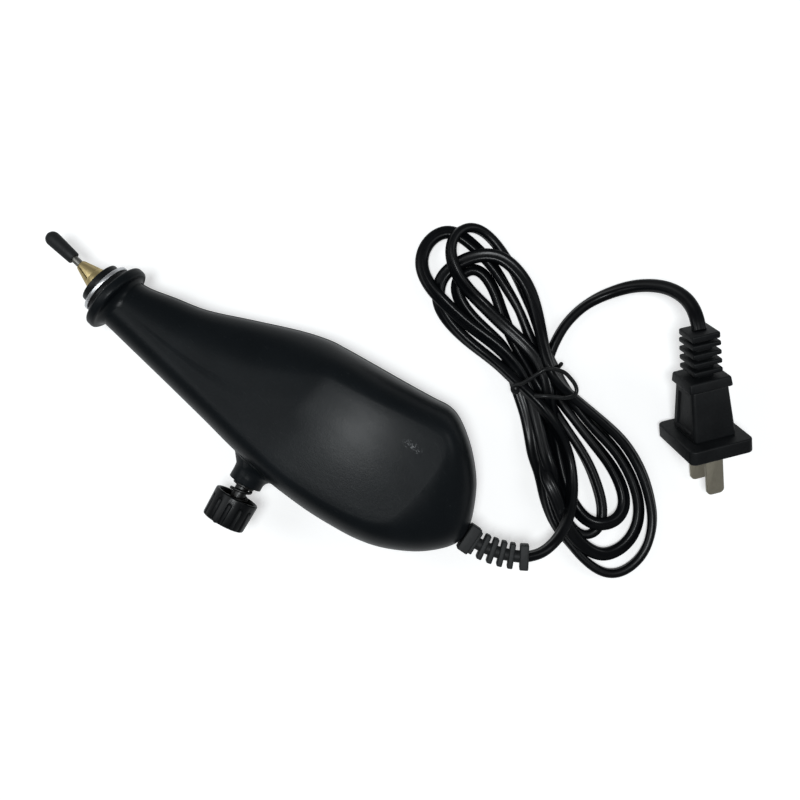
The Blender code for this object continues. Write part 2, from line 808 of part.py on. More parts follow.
def magnet_rest_places():
    front = CORE_FRONT + MAGNET_POST_RADIUS + CORE_LIMB / 2
    low = CORE_LOW_Y + CORE_LIMB / 2
    high = CORE_LOW_Y + CORE_HEIGHT - CORE_LIMB / 2
    return [(front, low), (front, high)]


def shell_cuts(pen, adjuster):
    """Bores and pockets that both shells share."""
    slot = RELIEF_NECK / 2 + CLEARANCE
    inner = RELIEF_NECK / 2
    cuts = [
        turned("nose_bore", [
            (0, NOSE_SOLID_LENGTH + OVERRUN),
            (NOSE_BORE_RADIUS, NOSE_SOLID_LENGTH + OVERRUN),
            (NOSE_BORE_RADIUS, SPIGOT_FRONT - OVERRUN),
            (0, SPIGOT_FRONT - OVERRUN),
        ], pen, black_plastic),
        turned("bush_seat", [
            (0, REAR_BUSH_MIDDLE + REAR_BUSH_WEB),
            (REAR_BUSH_RADIUS + CLEARANCE, REAR_BUSH_MIDDLE + REAR_BUSH_WEB),
            (REAR_BUSH_RADIUS + CLEARANCE, REAR_BUSH_MIDDLE - REAR_BUSH_WEB),
            (0, REAR_BUSH_MIDDLE - REAR_BUSH_WEB),
        ], pen, black_plastic),
        turned("insert_pocket", [
            (0, OVERRUN),
            (ADJUSTER_SCREW_RADIUS + CLEARANCE, OVERRUN),
            (ADJUSTER_SCREW_RADIUS + CLEARANCE, -INSERT_RECESS),
            (INSERT_RADIUS + CLEARANCE, -INSERT_RECESS),
            (INSERT_RADIUS + CLEARANCE, -INSERT_RECESS - INSERT_LENGTH - 2 * CLEARANCE),
            (ADJUSTER_SCREW_RADIUS + CLEARANCE, -INSERT_RECESS - INSERT_LENGTH - 2 * CLEARANCE),
            (ADJUSTER_SCREW_RADIUS + CLEARANCE, -INSERT_LENGTH - SHELL_WALL - OVERRUN),
            (0, -INSERT_LENGTH - SHELL_WALL - OVERRUN),
        ], adjuster, black_plastic, along="Z"),
        block("relief_slot", (-inner - SHELL_WALL, -slot, -slot), (SHELL_WALL, slot, slot), pen,
              black_plastic, relief_matrix(0)),
    ]
    return [as_cutter(cut) for cut in cuts]


def shell(name, side, hollow, extras, cuts, pen):
    """One shell: side is 1 for the upper and -1 for the lower."""
    inset = 0 if side > 0 else -SEAM_STEP
    thing = housing_form(name, inset, OUTER_STATION_STEPS, OUTER_ARC_STEPS, pen)
    for extra in extras:
        boolean(thing, "UNION", extra)
    boolean(thing, "DIFFERENCE", hollow)
    for cut in cuts:
        boolean(thing, "DIFFERENCE", cut)
    for index, (x, y) in enumerate(SHELL_SCREW_PLACES):
        hole = SHELL_SCREW_RADIUS + CLEARANCE
        if side > 0:
            drill = rod(f"upper_pilot_{index}", hole, -OVERRUN,
                        SHELL_SCREW_REACH + OVERRUN / 2, pen, black_plastic, x, y, 16)
        else:
            wide = SHELL_SCREW_HEAD_RADIUS + CLEARANCE
            drill = turned(f"lower_counterbore_{index}", [
                (0, OVERRUN), (hole, OVERRUN), (hole, -SHELL_SCREW_SEAT),
                (wide, -SHELL_SCREW_SEAT), (wide, -HALF_HEIGHT - OVERRUN),
                (0, -HALF_HEIGHT - OVERRUN),
            ], pen, black_plastic, "Z", 16, Matrix.Translation((x, y, 0)))
        boolean(thing, "DIFFERENCE", as_cutter(drill))
    if side < 0:
        for index, (x, y) in enumerate(magnet_screw_places()):
            top = magnet_post_top()
            drill = rod(f"magnet_pilot_{index}", MAGNET_SCREW_RADIUS + CLEARANCE,
                        top - MAGNET_PILOT_DEPTH, top + OVERRUN, pen, black_plastic, x, y, 16)
            boolean(thing, "DIFFERENCE", as_cutter(drill))
        for index, place in enumerate((-CLAMP_SCREW_PLACE, CLAMP_SCREW_PLACE)):
            drill = rod(f"clamp_pilot_{index}", CLAMP_SCREW_RADIUS + CLEARANCE,
                        saddle_top() - CLAMP_SCREW_REACH, saddle_top() + OVERRUN, pen,
                        black_plastic, CLAMP_X, CLAMP_Y + place, 16)
            boolean(thing, "DIFFERENCE", as_cutter(drill))
    reach = HOUSING_LENGTH
    low, high = (SEAM_GAP / 2, reach) if side > 0 else (-reach, -SEAM_GAP / 2)
    half = block(f"{name}_half", (-reach, -reach, low), (2 * reach, reach, high), pen,
                 black_plastic)
    boolean(thing, "INTERSECT", as_cutter(half))
    smooth_round(thing)
    return thing


def build_housing(pen, adjuster):
    flange = as_cutter(turned("flange_form", flange_profile(), pen, black_plastic, steps=32))
    boss = as_cutter(turned("boss_form", boss_profile(), adjuster, black_plastic, "Z"))
    stand = Matrix.Translation((BOSS_FOOT_X, BOSS_FOOT_Y, 0)) @ Matrix.Rotation(
        math.pi / 2, 4, "X")
    foot = as_cutter(turned("boss_foot_form", boss_foot_profile(), pen, black_plastic, "Z", 24,
                            stand))
    hollow = as_cutter_mesh(housing_hollow(pen, adjuster))
    cuts = shell_cuts(pen, adjuster)
    shell("upper_shell", 1, hollow, [flange, boss, foot], cuts, pen)
    shell("lower_shell", -1, hollow, [flange, boss, foot], cuts, pen)


def as_cutter_mesh(thing):
    plain = welded_mesh(thing)
    plain.hide_render = True
    plain.display_type = "WIRE"
    return plain


def build_shell_screws(pen):
    profile = screw_profile(
        SHELL_SCREW_RADIUS, SHELL_SCREW_HEAD_RADIUS, SHELL_SCREW_HEAD,
        SHELL_SCREW_SEAT + CLEARANCE + SHELL_SCREW_REACH,
    )
    for index, (x, y) in enumerate(SHELL_SCREW_PLACES):
        seat = Matrix.Translation((x, y, -SHELL_SCREW_SEAT - CLEARANCE))
        turned(f"shell_screw_{index + 1}", profile, pen, dark_steel, "Z", 16,
               seat @ Matrix.Rotation(math.pi, 4, "X"))


# Nose, shaft and needle

def ring_profile(outer, inner, front, back, rounding=0):
    """A ring with its outer corners cut back, listed down the outside from its back."""
    return [
        (inner, back),
        (outer - rounding, back),
        (outer, back - rounding),
        (outer, front + rounding),
        (outer - rounding, front),
        (inner, front),
    ] if rounding else [(inner, back), (outer, back), (outer, front), (inner, front)]


def build_nose(pen):
    washer_back = FLANGE_FRONT - CLEARANCE
    washer_front = washer_back - WASHER_THICKNESS
    ring_back = washer_front - CLEARANCE
    ring_front = ring_back - CLAMP_RING_THICKNESS
    cap_back = SPIGOT_FRONT - CLEARANCE
    cap_front = cap_back - NOSE_CAP_THICKNESS
    edge = CLAMP_RING_THICKNESS / 4
    turned("nose_washer", ring_profile(WASHER_RADIUS, RING_BORE_RADIUS, washer_front,
                                       washer_back, edge), pen, black_rubber)
    turned("nose_clamp_ring", ring_profile(CLAMP_RING_RADIUS, RING_BORE_RADIUS, ring_front,
                                           ring_back, edge), pen, bright_steel)
    sleeve = NOSE_BORE_RADIUS - CLEARANCE
    turned("nose_cap", [
        (NOSE_CAP_BORE_RADIUS, cap_back + NOSE_CAP_SLEEVE_LENGTH),
        (sleeve, cap_back + NOSE_CAP_SLEEVE_LENGTH),
        (sleeve, cap_back),
        (NOSE_CAP_RADIUS, cap_back),
        (NOSE_CAP_RADIUS, cap_front + NOSE_CAP_ROUND),
        (NOSE_CAP_RADIUS - NOSE_CAP_ROUND / 3, cap_front + NOSE_CAP_ROUND / 3),
        (NOSE_CAP_RADIUS - NOSE_CAP_ROUND, cap_front),
        (NOSE_CAP_BORE_RADIUS, cap_front),
    ], pen, black_plastic)
    turned("front_bush", ring_profile(
        NOSE_BORE_RADIUS - CLEARANCE, BUSH_BORE_RADIUS, FRONT_BUSH_FRONT,
        FRONT_BUSH_FRONT + FRONT_BUSH_LENGTH), pen, yellow_brass)
    turned("rear_bush", ring_profile(
        REAR_BUSH_RADIUS, BUSH_BORE_RADIUS, REAR_BUSH_MIDDLE - REAR_BUSH_LENGTH / 2,
        REAR_BUSH_MIDDLE + REAR_BUSH_LENGTH / 2), pen, yellow_brass)


def shaft_head_back():
    return ARMATURE_FRONT - CLEARANCE


def nut_front():
    return ARMATURE_FRONT + ARMATURE_THICKNESS + CLEARANCE


def build_shaft(pen):
    head_back = shaft_head_back()
    collar_back = SHAFT_COLLAR_FRONT + SHAFT_COLLAR_LENGTH
    pin_end = nut_front() + SHAFT_NUT_LENGTH
    turned("drive_shaft", [
        (0, pin_end),
        (SHAFT_PIN_RADIUS, pin_end),
        (SHAFT_PIN_RADIUS, head_back),
        (SHAFT_HEAD_RADIUS, head_back),
        (SHAFT_HEAD_RADIUS, head_back - SHAFT_HEAD_LENGTH),
        (SHAFT_RADIUS, head_back - SHAFT_HEAD_LENGTH),
        (SHAFT_RADIUS, collar_back),
        (SHAFT_COLLAR_RADIUS, collar_back),
        (SHAFT_COLLAR_RADIUS, SHAFT_COLLAR_FRONT),
        (SHAFT_RADIUS, SHAFT_COLLAR_FRONT),
        (SHAFT_RADIUS, SHAFT_FRONT),
        (0, SHAFT_FRONT),
    ], pen, bright_steel)
    turned("shaft_nut", ring_profile(
        SHAFT_NUT_RADIUS, SHAFT_PIN_RADIUS + CLEARANCE, nut_front(),
        nut_front() + SHAFT_NUT_LENGTH), pen, dark_steel, steps=6)
    start = FRONT_BUSH_FRONT + FRONT_BUSH_LENGTH + CLEARANCE + RETURN_SPRING_WIRE / 2
    end = SHAFT_COLLAR_FRONT - CLEARANCE - RETURN_SPRING_WIRE / 2
    turn = Matrix.Rotation(math.pi / 2, 4, "Y")
    points = [turn @ Vector(point) for point in
              helix(RETURN_SPRING_RADIUS, start, end, RETURN_SPRING_TURNS)]
    tube("return_spring", points, RETURN_SPRING_WIRE / 2, pen, dark_steel, 1)


def build_needle(pen):
    bore = NEEDLE_RADIUS + NEEDLE_FIT
    socket = SHAFT_RADIUS + CLEARANCE
    turned("needle_chuck", [
        (socket, CHUCK_BACK),
        (CHUCK_RADIUS, CHUCK_BACK),
        (CHUCK_RADIUS, CHUCK_SHOULDER),
        (bore + CHUCK_LIP, CHUCK_FRONT),
        (bore, CHUCK_FRONT),
        (bore, CHUCK_STEP),
        (socket, CHUCK_STEP),
    ], pen, yellow_brass)
    needle_back = SHAFT_FRONT - CLEARANCE
    turned("needle", [
        (0, needle_back),
        (NEEDLE_RADIUS, needle_back),
        (NEEDLE_RADIUS, NEEDLE_TIP + NEEDLE_POINT_LENGTH),
        (NEEDLE_POINT_SHARE * NEEDLE_RADIUS, NEEDLE_TIP),
        (0, NEEDLE_TIP),
    ], pen, dark_steel)
    length = CAP_OPEN_END - CAP_CLOSED_END
    bore = NEEDLE_RADIUS + CLEARANCE
    profile = [(bore, CAP_OPEN_END), (CAP_OPEN_RADIUS, CAP_OPEN_END)]
    swell_shares = [(0.25, 0.15), (0.5, 0.55), (0.68, 0.9), (0.8, 1.0)]
    for along_share, swell_share in swell_shares:
        profile.append((
            CAP_OPEN_RADIUS + (CAP_BULB_RADIUS - CAP_OPEN_RADIUS) * swell_share,
            CAP_OPEN_END - length * along_share,
        ))
    round_start = CAP_OPEN_END - length * swell_shares[-1][0]
    for step in range(1, 5):
        angle = math.pi / 2 * step / 5
        profile.append((
            CAP_BULB_RADIUS * math.cos(angle),
            round_start + (CAP_CLOSED_END - round_start) * math.sin(angle),
        ))
    profile += [(0, CAP_CLOSED_END), (0, NEEDLE_TIP - CLEARANCE), (bore, NEEDLE_TIP - CLEARANCE)]
    build_cap(profile, pen)


def build_cap(profile, pen):
    """The cap is a solid bulb with a blind bore cut for the needle."""
    outside = [(0, profile[0][1])] + profile[1:-2]
    cap = turned("tip_cap", outside, pen, black_rubber)
    bore_radius, bore_end = profile[-1]
    bore = turned("cap_bore", [
        (0, CAP_OPEN_END + OVERRUN), (bore_radius, CAP_OPEN_END + OVERRUN),
        (bore_radius, bore_end), (0, bore_end),
    ], pen, black_rubber)
    boolean(cap, "DIFFERENCE", as_cutter(bore))


# Magnet and armature

def build_armature(pen, pivot):
    """A flat lever below its knuckle, with a slot for the shaft's end."""
    front = ARMATURE_FRONT - PIVOT_X
    back = front + ARMATURE_THICKNESS
    foot = ARMATURE_FOOT_Y - PIVOT_Y
    lever = block("armature", (front, foot, -ARMATURE_HALF_WIDTH), (back, 0, ARMATURE_HALF_WIDTH),
                  pivot, dark_steel)
    knuckle = rod("knuckle_form", KNUCKLE_RADIUS, -ARMATURE_HALF_WIDTH - OVERRUN / 4,
                  ARMATURE_HALF_WIDTH + OVERRUN / 4, pivot, dark_steel)
    boolean(lever, "UNION", as_cutter(knuckle))
    eye = rod("knuckle_bore", PIVOT_RADIUS + CLEARANCE, -HALF_HEIGHT, HALF_HEIGHT, pivot,
              dark_steel)
    boolean(lever, "DIFFERENCE", as_cutter(eye))
    slot = turned("shaft_slot", [
        (0, back + OVERRUN), (ARMATURE_SLOT_RADIUS, back + OVERRUN),
        (ARMATURE_SLOT_RADIUS, front - OVERRUN), (0, front - OVERRUN),
    ], pivot, dark_steel, matrix=Matrix.Translation((0, -PIVOT_Y, 0)))
    boolean(lever, "DIFFERENCE", as_cutter(slot))
    reach = CORE_HALF_STACK + PLATE_THICKNESS + 3 * CLEARANCE
    rod("armature_pin", PIVOT_RADIUS, -reach, reach, pivot, bright_steel, sides=20)


def build_magnet(pen):
    front = CORE_FRONT
    back = CORE_FRONT + CORE_DEPTH
    inside = back - CORE_LIMB
    low = CORE_LOW_Y
    high = CORE_LOW_Y + CORE_HEIGHT
    middle = (low + high) / 2
    limb_low = middle - CORE_MIDDLE_LIMB / 2
    limb_high = middle + CORE_MIDDLE_LIMB / 2
    holes = [circle_outline(x, y, MAGNET_SCREW_RADIUS + CLEARANCE, 16)
             for x, y in magnet_screw_places()]
    core = [
        (back, low), (back, high), (front, high), (front, high - CORE_LIMB),
        (inside, high - CORE_LIMB), (inside, limb_high), (front, limb_high), (front, limb_low),
        (inside, limb_low), (inside, low + CORE_LIMB), (front, low + CORE_LIMB), (front, low),
    ]
    flat_piece("magnet_core", [core] + holes, CORE_HALF_STACK, pen, dark_steel)
    ear = circle_outline(PIVOT_X, PIVOT_Y, PLATE_EAR_RADIUS, 10, math.pi / 2, 1.5 * math.pi)
    limb_edge = high - CORE_LIMB + CLEARANCE
    plate = [(back, low), (back, PIVOT_Y + PLATE_EAR_RADIUS)] + ear + [
        (front, PIVOT_Y - PLATE_EAR_RADIUS), (front, limb_edge), (inside, limb_edge),
        (inside, low + CORE_LIMB - CLEARANCE), (front, low + CORE_LIMB - CLEARANCE), (front, low),
    ]
    pin_hole = circle_outline(PIVOT_X, PIVOT_Y, PIVOT_RADIUS + CLEARANCE, 20)
    lift = CORE_HALF_STACK + CLEARANCE + PLATE_THICKNESS / 2
    for name, height in (("side_plate_upper", lift), ("side_plate_lower", -lift)):
        flat_piece(name, [plate, pin_hole] + holes, PLATE_THICKNESS / 2, pen, bright_steel,
                   Matrix.Translation((0, 0, height)))
    build_coil(pen, inside, limb_low, limb_high, low, high)
    seat = lift + PLATE_THICKNESS / 2 + CLEARANCE
    reach = seat - magnet_post_top() + MAGNET_PILOT_DEPTH - OVERRUN
    profile = screw_profile(MAGNET_SCREW_RADIUS, MAGNET_SCREW_HEAD_RADIUS, MAGNET_SCREW_HEAD,
                            reach)
    for index, (x, y) in enumerate(magnet_screw_places()):
        turned(f"magnet_screw_{index + 1}", profile, pen, bright_steel, "Z", 16,
               Matrix.Translation((x, y, seat)))


def build_coil(pen, inside, limb_low, limb_high, low, high):
    gap = CLEARANCE
    start = CORE_FRONT + 2 * gap
    end = inside - gap
    tube_low = limb_low - gap
    tube_high = limb_high + gap
    tube_deep = CORE_HALF_STACK + gap
    flange_low = low + CORE_LIMB + gap
    flange_high = high - CORE_LIMB - gap
    tall = BOBBIN_HALF_HEIGHT
    bobbin = block("coil_bobbin", (start, tube_low - BOBBIN_WALL, -tube_deep - BOBBIN_WALL),
                   (end, tube_high + BOBBIN_WALL, tube_deep + BOBBIN_WALL), pen, black_plastic)
    for name, x in (("front_flange_form", start), ("rear_flange_form", end - BOBBIN_FLANGE)):
        flange = block(name, (x, flange_low, -tall), (x + BOBBIN_FLANGE, flange_high, tall), pen,
                       black_plastic)
        boolean(bobbin, "UNION", as_cutter(flange))
    window = block("bobbin_window", (start - OVERRUN, tube_low, -tube_deep),
                   (end + OVERRUN, tube_high, tube_deep), pen, black_plastic)
    boolean(bobbin, "DIFFERENCE", as_cutter(window))
    first = start + BOBBIN_FLANGE + gap
    last = end - BOBBIN_FLANGE - gap
    winding = block("coil_winding", (first, flange_low + gap, -tall + gap),
                    (last, flange_high - gap, tall - gap), pen, copper, None, WINDING_ROUND)
    hole = block("winding_window",
                 (first - OVERRUN, tube_low - BOBBIN_WALL - gap, -tube_deep - BOBBIN_WALL - gap),
                 (last + OVERRUN, tube_high + BOBBIN_WALL + gap, tube_deep + BOBBIN_WALL + gap),
                 pen, copper)
    boolean(winding, "DIFFERENCE", as_cutter(hole))


def copper(name):
    return make_material(name, (0.62, 0.27, 0.12), 0.35, 1.0)


# Stroke adjuster

def knob_web_face():
    return KNOB_RIM + KNOB_HEIGHT - KNOB_WEB


def build_adjuster(adjuster):
    screw_end = KNOB_RIM + KNOB_HEIGHT - KNOB_ROUND - CLEARANCE
    tip = -ADJUSTER_SCREW_REACH
    turned("adjuster_screw", [
        (0, screw_end),
        (ADJUSTER_SCREW_RADIUS, screw_end),
        (ADJUSTER_SCREW_RADIUS, tip + ADJUSTER_POINT_LENGTH),
        (ADJUSTER_POINT_RADIUS, tip),
        (0, tip),
    ], adjuster, bright_steel, "Z")
    turned("adjuster_insert", ring_profile(
        INSERT_RADIUS, ADJUSTER_SCREW_RADIUS + CLEARANCE,
        -INSERT_RECESS - CLEARANCE - INSERT_LENGTH, -INSERT_RECESS - CLEARANCE),
        adjuster, yellow_brass, "Z")
    washer_high = knob_web_face() - CLEARANCE
    turned("adjuster_washer", ring_profile(
        ADJUSTER_WASHER_RADIUS, ADJUSTER_SCREW_RADIUS + CLEARANCE,
        washer_high - ADJUSTER_WASHER_THICKNESS, washer_high), adjuster, bright_steel, "Z")
    start = CLEARANCE + ADJUSTER_SPRING_WIRE / 2
    end = washer_high - ADJUSTER_WASHER_THICKNESS - CLEARANCE - ADJUSTER_SPRING_WIRE / 2
    points = helix(ADJUSTER_SPRING_RADIUS, start, end, ADJUSTER_SPRING_TURNS)
    tube("adjuster_spring", points, ADJUSTER_SPRING_WIRE / 2, adjuster, dark_steel, 1)
    build_knob(adjuster)


def build_knob(adjuster):
    top = KNOB_RIM + KNOB_HEIGHT
    inner = KNOB_RADIUS - KNOB_WALL
    knob = turned("adjuster_knob", [
        (ADJUSTER_SCREW_RADIUS + CLEARANCE, top),
        (KNOB_END_RADIUS - KNOB_ROUND, top),
        (KNOB_END_RADIUS, top - KNOB_ROUND),
        (KNOB_RADIUS, KNOB_RIM),
        (inner, KNOB_RIM),
        (inner, knob_web_face()),
        (ADJUSTER_SCREW_RADIUS + CLEARANCE, knob_web_face()),
    ], adjuster, black_plastic, "Z", 36)
    for index in range(KNOB_FLUTES):
        angle = 2 * math.pi * index / KNOB_FLUTES
        place = Matrix.Rotation(angle, 4, "Z") @ Matrix.Translation((
            KNOB_RADIUS + FLUTE_RADIUS - FLUTE_DEPTH, 0, KNOB_RIM + FLUTE_TOP))
        flute = turned(f"flute_{index}", [
            (0, KNOB_HEIGHT), (FLUTE_RADIUS, KNOB_HEIGHT), (FLUTE_RADIUS, 0),
            (0.7 * FLUTE_RADIUS, -0.7 * FLUTE_RADIUS), (0, -FLUTE_RADIUS),
        ], adjuster, black_plastic, "Z", 10, place)
        boolean(knob, "DIFFERENCE", as_cutter(flute))


# Strain relief, inner cord and clamp

def relief_block(name, distance, thickness, width, height, pen, rounding=0):
    """A rounded block across the relief's centre line, from a distance along it."""
    return block(name, (-thickness / 2, -width / 2, -height / 2),
                 (thickness / 2, width / 2, height / 2), pen, black_rubber,
                 relief_matrix(distance + thickness / 2), rounding, 1)


def build_relief(pen):
    back = -SHELL_WALL - RELIEF_NECK / 2 - CLEARANCE
    collar = relief_block("strain_relief", CLEARANCE, RELIEF_PLATE_THICKNESS,
                          RELIEF_PLATE_WIDTH, RELIEF_HEIGHT, pen, RELIEF_ROUND)
    pieces = [relief_block("relief_step", RELIEF_PLATE_THICKNESS, RELIEF_STEP_THICKNESS,
                           RELIEF_STEP_WIDTH, RELIEF_HEIGHT - 2 * RELIEF_ROUND, pen)]
    for index in range(RELIEF_RIBS):
        pieces.append(relief_block(
            f"relief_rib_{index}",
            RELIEF_FIRST_RIB + index * RELIEF_RIB_PITCH - RELIEF_RIB_THICKNESS / 2,
            RELIEF_RIB_THICKNESS, RELIEF_RIB_WIDTH, RELIEF_HEIGHT, pen, RELIEF_ROUND))
    pieces.append(relief_block(
        "relief_end", RELIEF_LENGTH - RELIEF_END_THICKNESS, RELIEF_END_THICKNESS,
        RELIEF_END_WIDTH, RELIEF_HEIGHT, pen, RELIEF_ROUND))
    rooted = back - RELIEF_PLATE_THICKNESS / 4
    pieces.append(relief_block(
        "relief_neck", rooted, CLEARANCE + RELIEF_PLATE_THICKNESS / 2 - rooted, RELIEF_NECK,
        RELIEF_NECK, pen))
    pieces.append(relief_block(
        "relief_inner_plate", back - RELIEF_PLATE_THICKNESS / 2, RELIEF_PLATE_THICKNESS / 2,
        RELIEF_STEP_WIDTH, RELIEF_HEIGHT, pen))
    core_points = []
    core_start = RELIEF_PLATE_THICKNESS / 2
    core_run = RELIEF_LENGTH - RELIEF_END_THICKNESS / 2 - core_start
    for step in range(9):
        core_points.append(relief_matrix(core_start + core_run * step / 8).to_translation())
    core = tube("relief_core", core_points, RELIEF_CORE_RADIUS, pen, black_rubber, 3)
    pieces.append(welded_mesh(core))
    for piece in pieces:
        boolean(collar, "UNION", as_cutter(piece))


def relief_back():
    """Where the inner cord meets the relief, as a distance behind the housing's outside."""
    return -SHELL_WALL - RELIEF_NECK / 2 - CLEARANCE - RELIEF_PLATE_THICKNESS / 2


def build_inner_cord(pen):
    start = relief_matrix(relief_back() - CLEARANCE).to_translation()
    along = relief_matrix(0).to_3x3() @ Vector((-1, 0, 0))
    middle = Vector((CLAMP_X, CLAMP_Y, 0))
    end = Vector((INNER_CORD_END, CLAMP_Y, 0))
    route = [start, start + along * CORD_RADIUS, middle + (start - middle) * 0.4, middle, end]
    points = free_line(route, 2 * CORD_RADIUS)
    tube("inner_cord", points, CORD_RADIUS, pen, cord_black)
    flange_back = CORE_FRONT + CORE_DEPTH - CORE_LIMB
    coil_top = BOBBIN_HALF_HEIGHT - 2 * LEAD_RADIUS
    middle_y = CORE_LOW_Y + CORE_HEIGHT / 2
    for index, side in enumerate((1, -1)):
        spread = side * CORE_MIDDLE_LIMB * 0.35
        first = Vector((INNER_CORD_END - CLEARANCE, CLAMP_Y + side * LEAD_SPREAD, 0))
        last = Vector((flange_back + CLEARANCE, middle_y + spread, coil_top))
        over = Vector((flange_back + CORE_LIMB, middle_y + spread, coil_top))
        route = [
            first,
            first - Vector((4 * LEAD_RADIUS, 0, 0)),
            first.lerp(over, 0.4) + Vector((0, side * LEAD_SPREAD, 0)),
            first.lerp(over, 0.75) + Vector((0, 0, 2 * LEAD_RADIUS)),
            over,
            last,
        ]
        points = free_line(route, 3 * LEAD_RADIUS)
        tube(f"coil_lead_{index + 1}", points, LEAD_RADIUS, pen, cord_black, 1)


def cord_black(name):
    return make_material(name, (0.010, 0.010, 0.011), 0.30)


def build_cord_clamp(pen):
    """A strap over the cord, with a foot each side that is screwed to the saddle."""
    foot = saddle_top() + CLEARANCE
    arch = CORD_RADIUS + CLEARANCE
    wall = CLAMP_THICKNESS
    half = CLAMP_HALF_WIDTH
    profile = [
        (-half, foot), (-arch, foot), (-arch, arch), (arch, arch), (arch, foot), (half, foot),
        (half, foot + wall), (arch + wall, foot + wall), (arch + wall, arch + wall),
        (-arch - wall, arch + wall), (-arch - wall, foot + wall), (-half, foot + wall),
    ]
    stand = Matrix(((0, 0, 1, CLAMP_X), (1, 0, 0, CLAMP_Y), (0, 1, 0, 0), (0, 0, 0, 1)))
    strap = flat_piece("cord_clamp", [profile], CLAMP_LENGTH / 2, pen, dark_steel, stand)
    strap = welded_mesh(strap)
    seat = foot + wall + CLEARANCE
    shank = screw_profile(CLAMP_SCREW_RADIUS, CLAMP_SCREW_HEAD_RADIUS, CLAMP_SCREW_HEAD,
                          seat - saddle_top() + CLAMP_SCREW_REACH - OVERRUN / 2)
    for index, place in enumerate((-CLAMP_SCREW_PLACE, CLAMP_SCREW_PLACE)):
        drill = rod(f"strap_hole_{index}", CLAMP_SCREW_RADIUS + CLEARANCE, foot - OVERRUN,
                    seat + OVERRUN, pen, dark_steel, CLAMP_X, CLAMP_Y + place, 16)
        boolean(strap, "DIFFERENCE", as_cutter(drill))
        turned(f"clamp_screw_{index + 1}", shank, pen, dark_steel, "Z", 16,
               Matrix.Translation((CLAMP_X, CLAMP_Y + place, seat)))


# Free cord: to the hank, the hank with its tie, and on to the plug

def ease(value):
    value = min(max(value, 0), 1)
    return value * value * (3 - 2 * value)


def hank_base(index):
    """A point of the innermost loop, in the hank's frame, and its share from the waist.

    X runs along the hank to its lower lobe and Y across it. The loop runs from the waist's
    left side round the upper lobe, back by the right side and round the lower lobe.
    """
    quarter = len(HANK_QUARTER_SHARES) - 1
    step = index % HANK_LOOP_POINTS
    row = min(step % (2 * quarter), 2 * quarter - step % (2 * quarter))
    along, across = HANK_QUARTER_SHARES[row]
    lobe = -HANK_UPPER_LOBE if step < 2 * quarter else HANK_LOWER_LOBE
    side = 1 if quarter < step < 3 * quarter else -1
    return Vector((lobe * along, side * across * HANK_HALF_WIDTH)), along


def hank_points():
    """The hank's one long line, square steps out from the innermost loop.

    It spirals out on the upper layer and in again on the lower one, and changes layer in
    the half turn where the spiral reverses. The waist is lifted clear of the table.
    """
    places = []
    middle = HANK_TURNS / 2
    for index in range(HANK_TURNS * HANK_LOOP_POINTS - HANK_OPEN_POINTS + 1):
        turns = index / HANK_LOOP_POINTS
        base, from_waist = hank_base(index)
        run = (hank_base(index + 1)[0] - hank_base(index - 1)[0]).normalized()
        out = (middle - abs(middle - turns)) * HANK_STEP
        place = base + Vector((-run.y, run.x)) * out
        lift = HANK_LIFT * (1 - ease((from_waist - HANK_WAIST_SHARE) / HANK_RISE_SHARE))
        layer = HANK_LAYER * (1 - ease(2 * (turns - middle) + 0.5))
        places.append(Vector((place.x, place.y, CORD_RADIUS + lift + layer)))
    return places


def segment_gap(a, b, c, d):
    """The least distance between two short straight pieces, measured at five places each."""
    least = math.inf
    for first in range(5):
        place = a.lerp(b, first / 4)
        run = d - c
        share = min(max((place - c).dot(run) / run.length_squared, 0), 1)
        least = min(least, (place - c - run * share).length)
    return least


def least_self_gap(points, radius, skip):
    least = math.inf
    for i in range(len(points) - 1):
        for j in range(i + skip, len(points) - 1):
            least = min(least, segment_gap(points[i], points[i + 1], points[j], points[j + 1]))
    return least - 2 * radius


# Hand-chosen places of the cord from the pen to the hank, in the cord's frame
CORD_FROM_PEN_ROUTE = [
    (0.0531, -0.0542, 0.0160),
    (0.0566, -0.0511, 0.0146),
    (0.0606, -0.0442, 0.0134),
    (0.0627, -0.0350, 0.0127),
    (0.0626, -0.0259, 0.0124),
    (0.0611, -0.0174, 0.0124),
    (0.0580, -0.0090, 0.0127),
]

# Hand-chosen places of the cord under the hank's waist and on to the plug
CORD_TO_PLUG_ROUTE = [
    (0.0574, -0.0073, 0.0043),
    (0.0548, 0.0015, 0.0038),
    (0.0549, 0.0106, 0.0038),
    (0.0576, 0.0192, 0.0034),
    (0.0625, 0.0278, 0.0024),
    (0.0690, 0.0349, 0.0021),
    (0.0775, 0.0400, 0.0030),
    (0.0866, 0.0420, 0.0080),
    (0.0950, 0.0408, 0.0165),
    (0.1004, 0.0362, 0.0248),
]

# Hand-chosen places of the wire tie, in the hank's frame: along, across, up
TIE_ROUTE = [
    (0.0030, -0.0060, 0.0166),
    (0.0060, 0.0010, 0.0168),
    (0.0093, 0.0080, 0.0166),
    (0.0082, 0.0126, 0.0160),
    (0.0045, 0.0146, 0.0158),
    (0.0005, 0.0132, 0.0164),
    (-0.0010, 0.0090, 0.0168),
    (-0.0005, 0.0000, 0.0168),
    (0.0000, -0.0100, 0.0166),
    (0.0003, -0.0152, 0.0148),
    (0.0003, -0.0168, 0.0090),
    (0.0000, -0.0150, 0.0030),
    (0.0000, -0.0100, 0.0008),
    (0.0000, 0.0000, 0.0008),
    (0.0000, 0.0080, 0.0008),
    (0.0000, 0.0128, 0.0030),
    (-0.0003, 0.0142, 0.0080),
    (-0.0012, 0.0140, 0.0130),
]


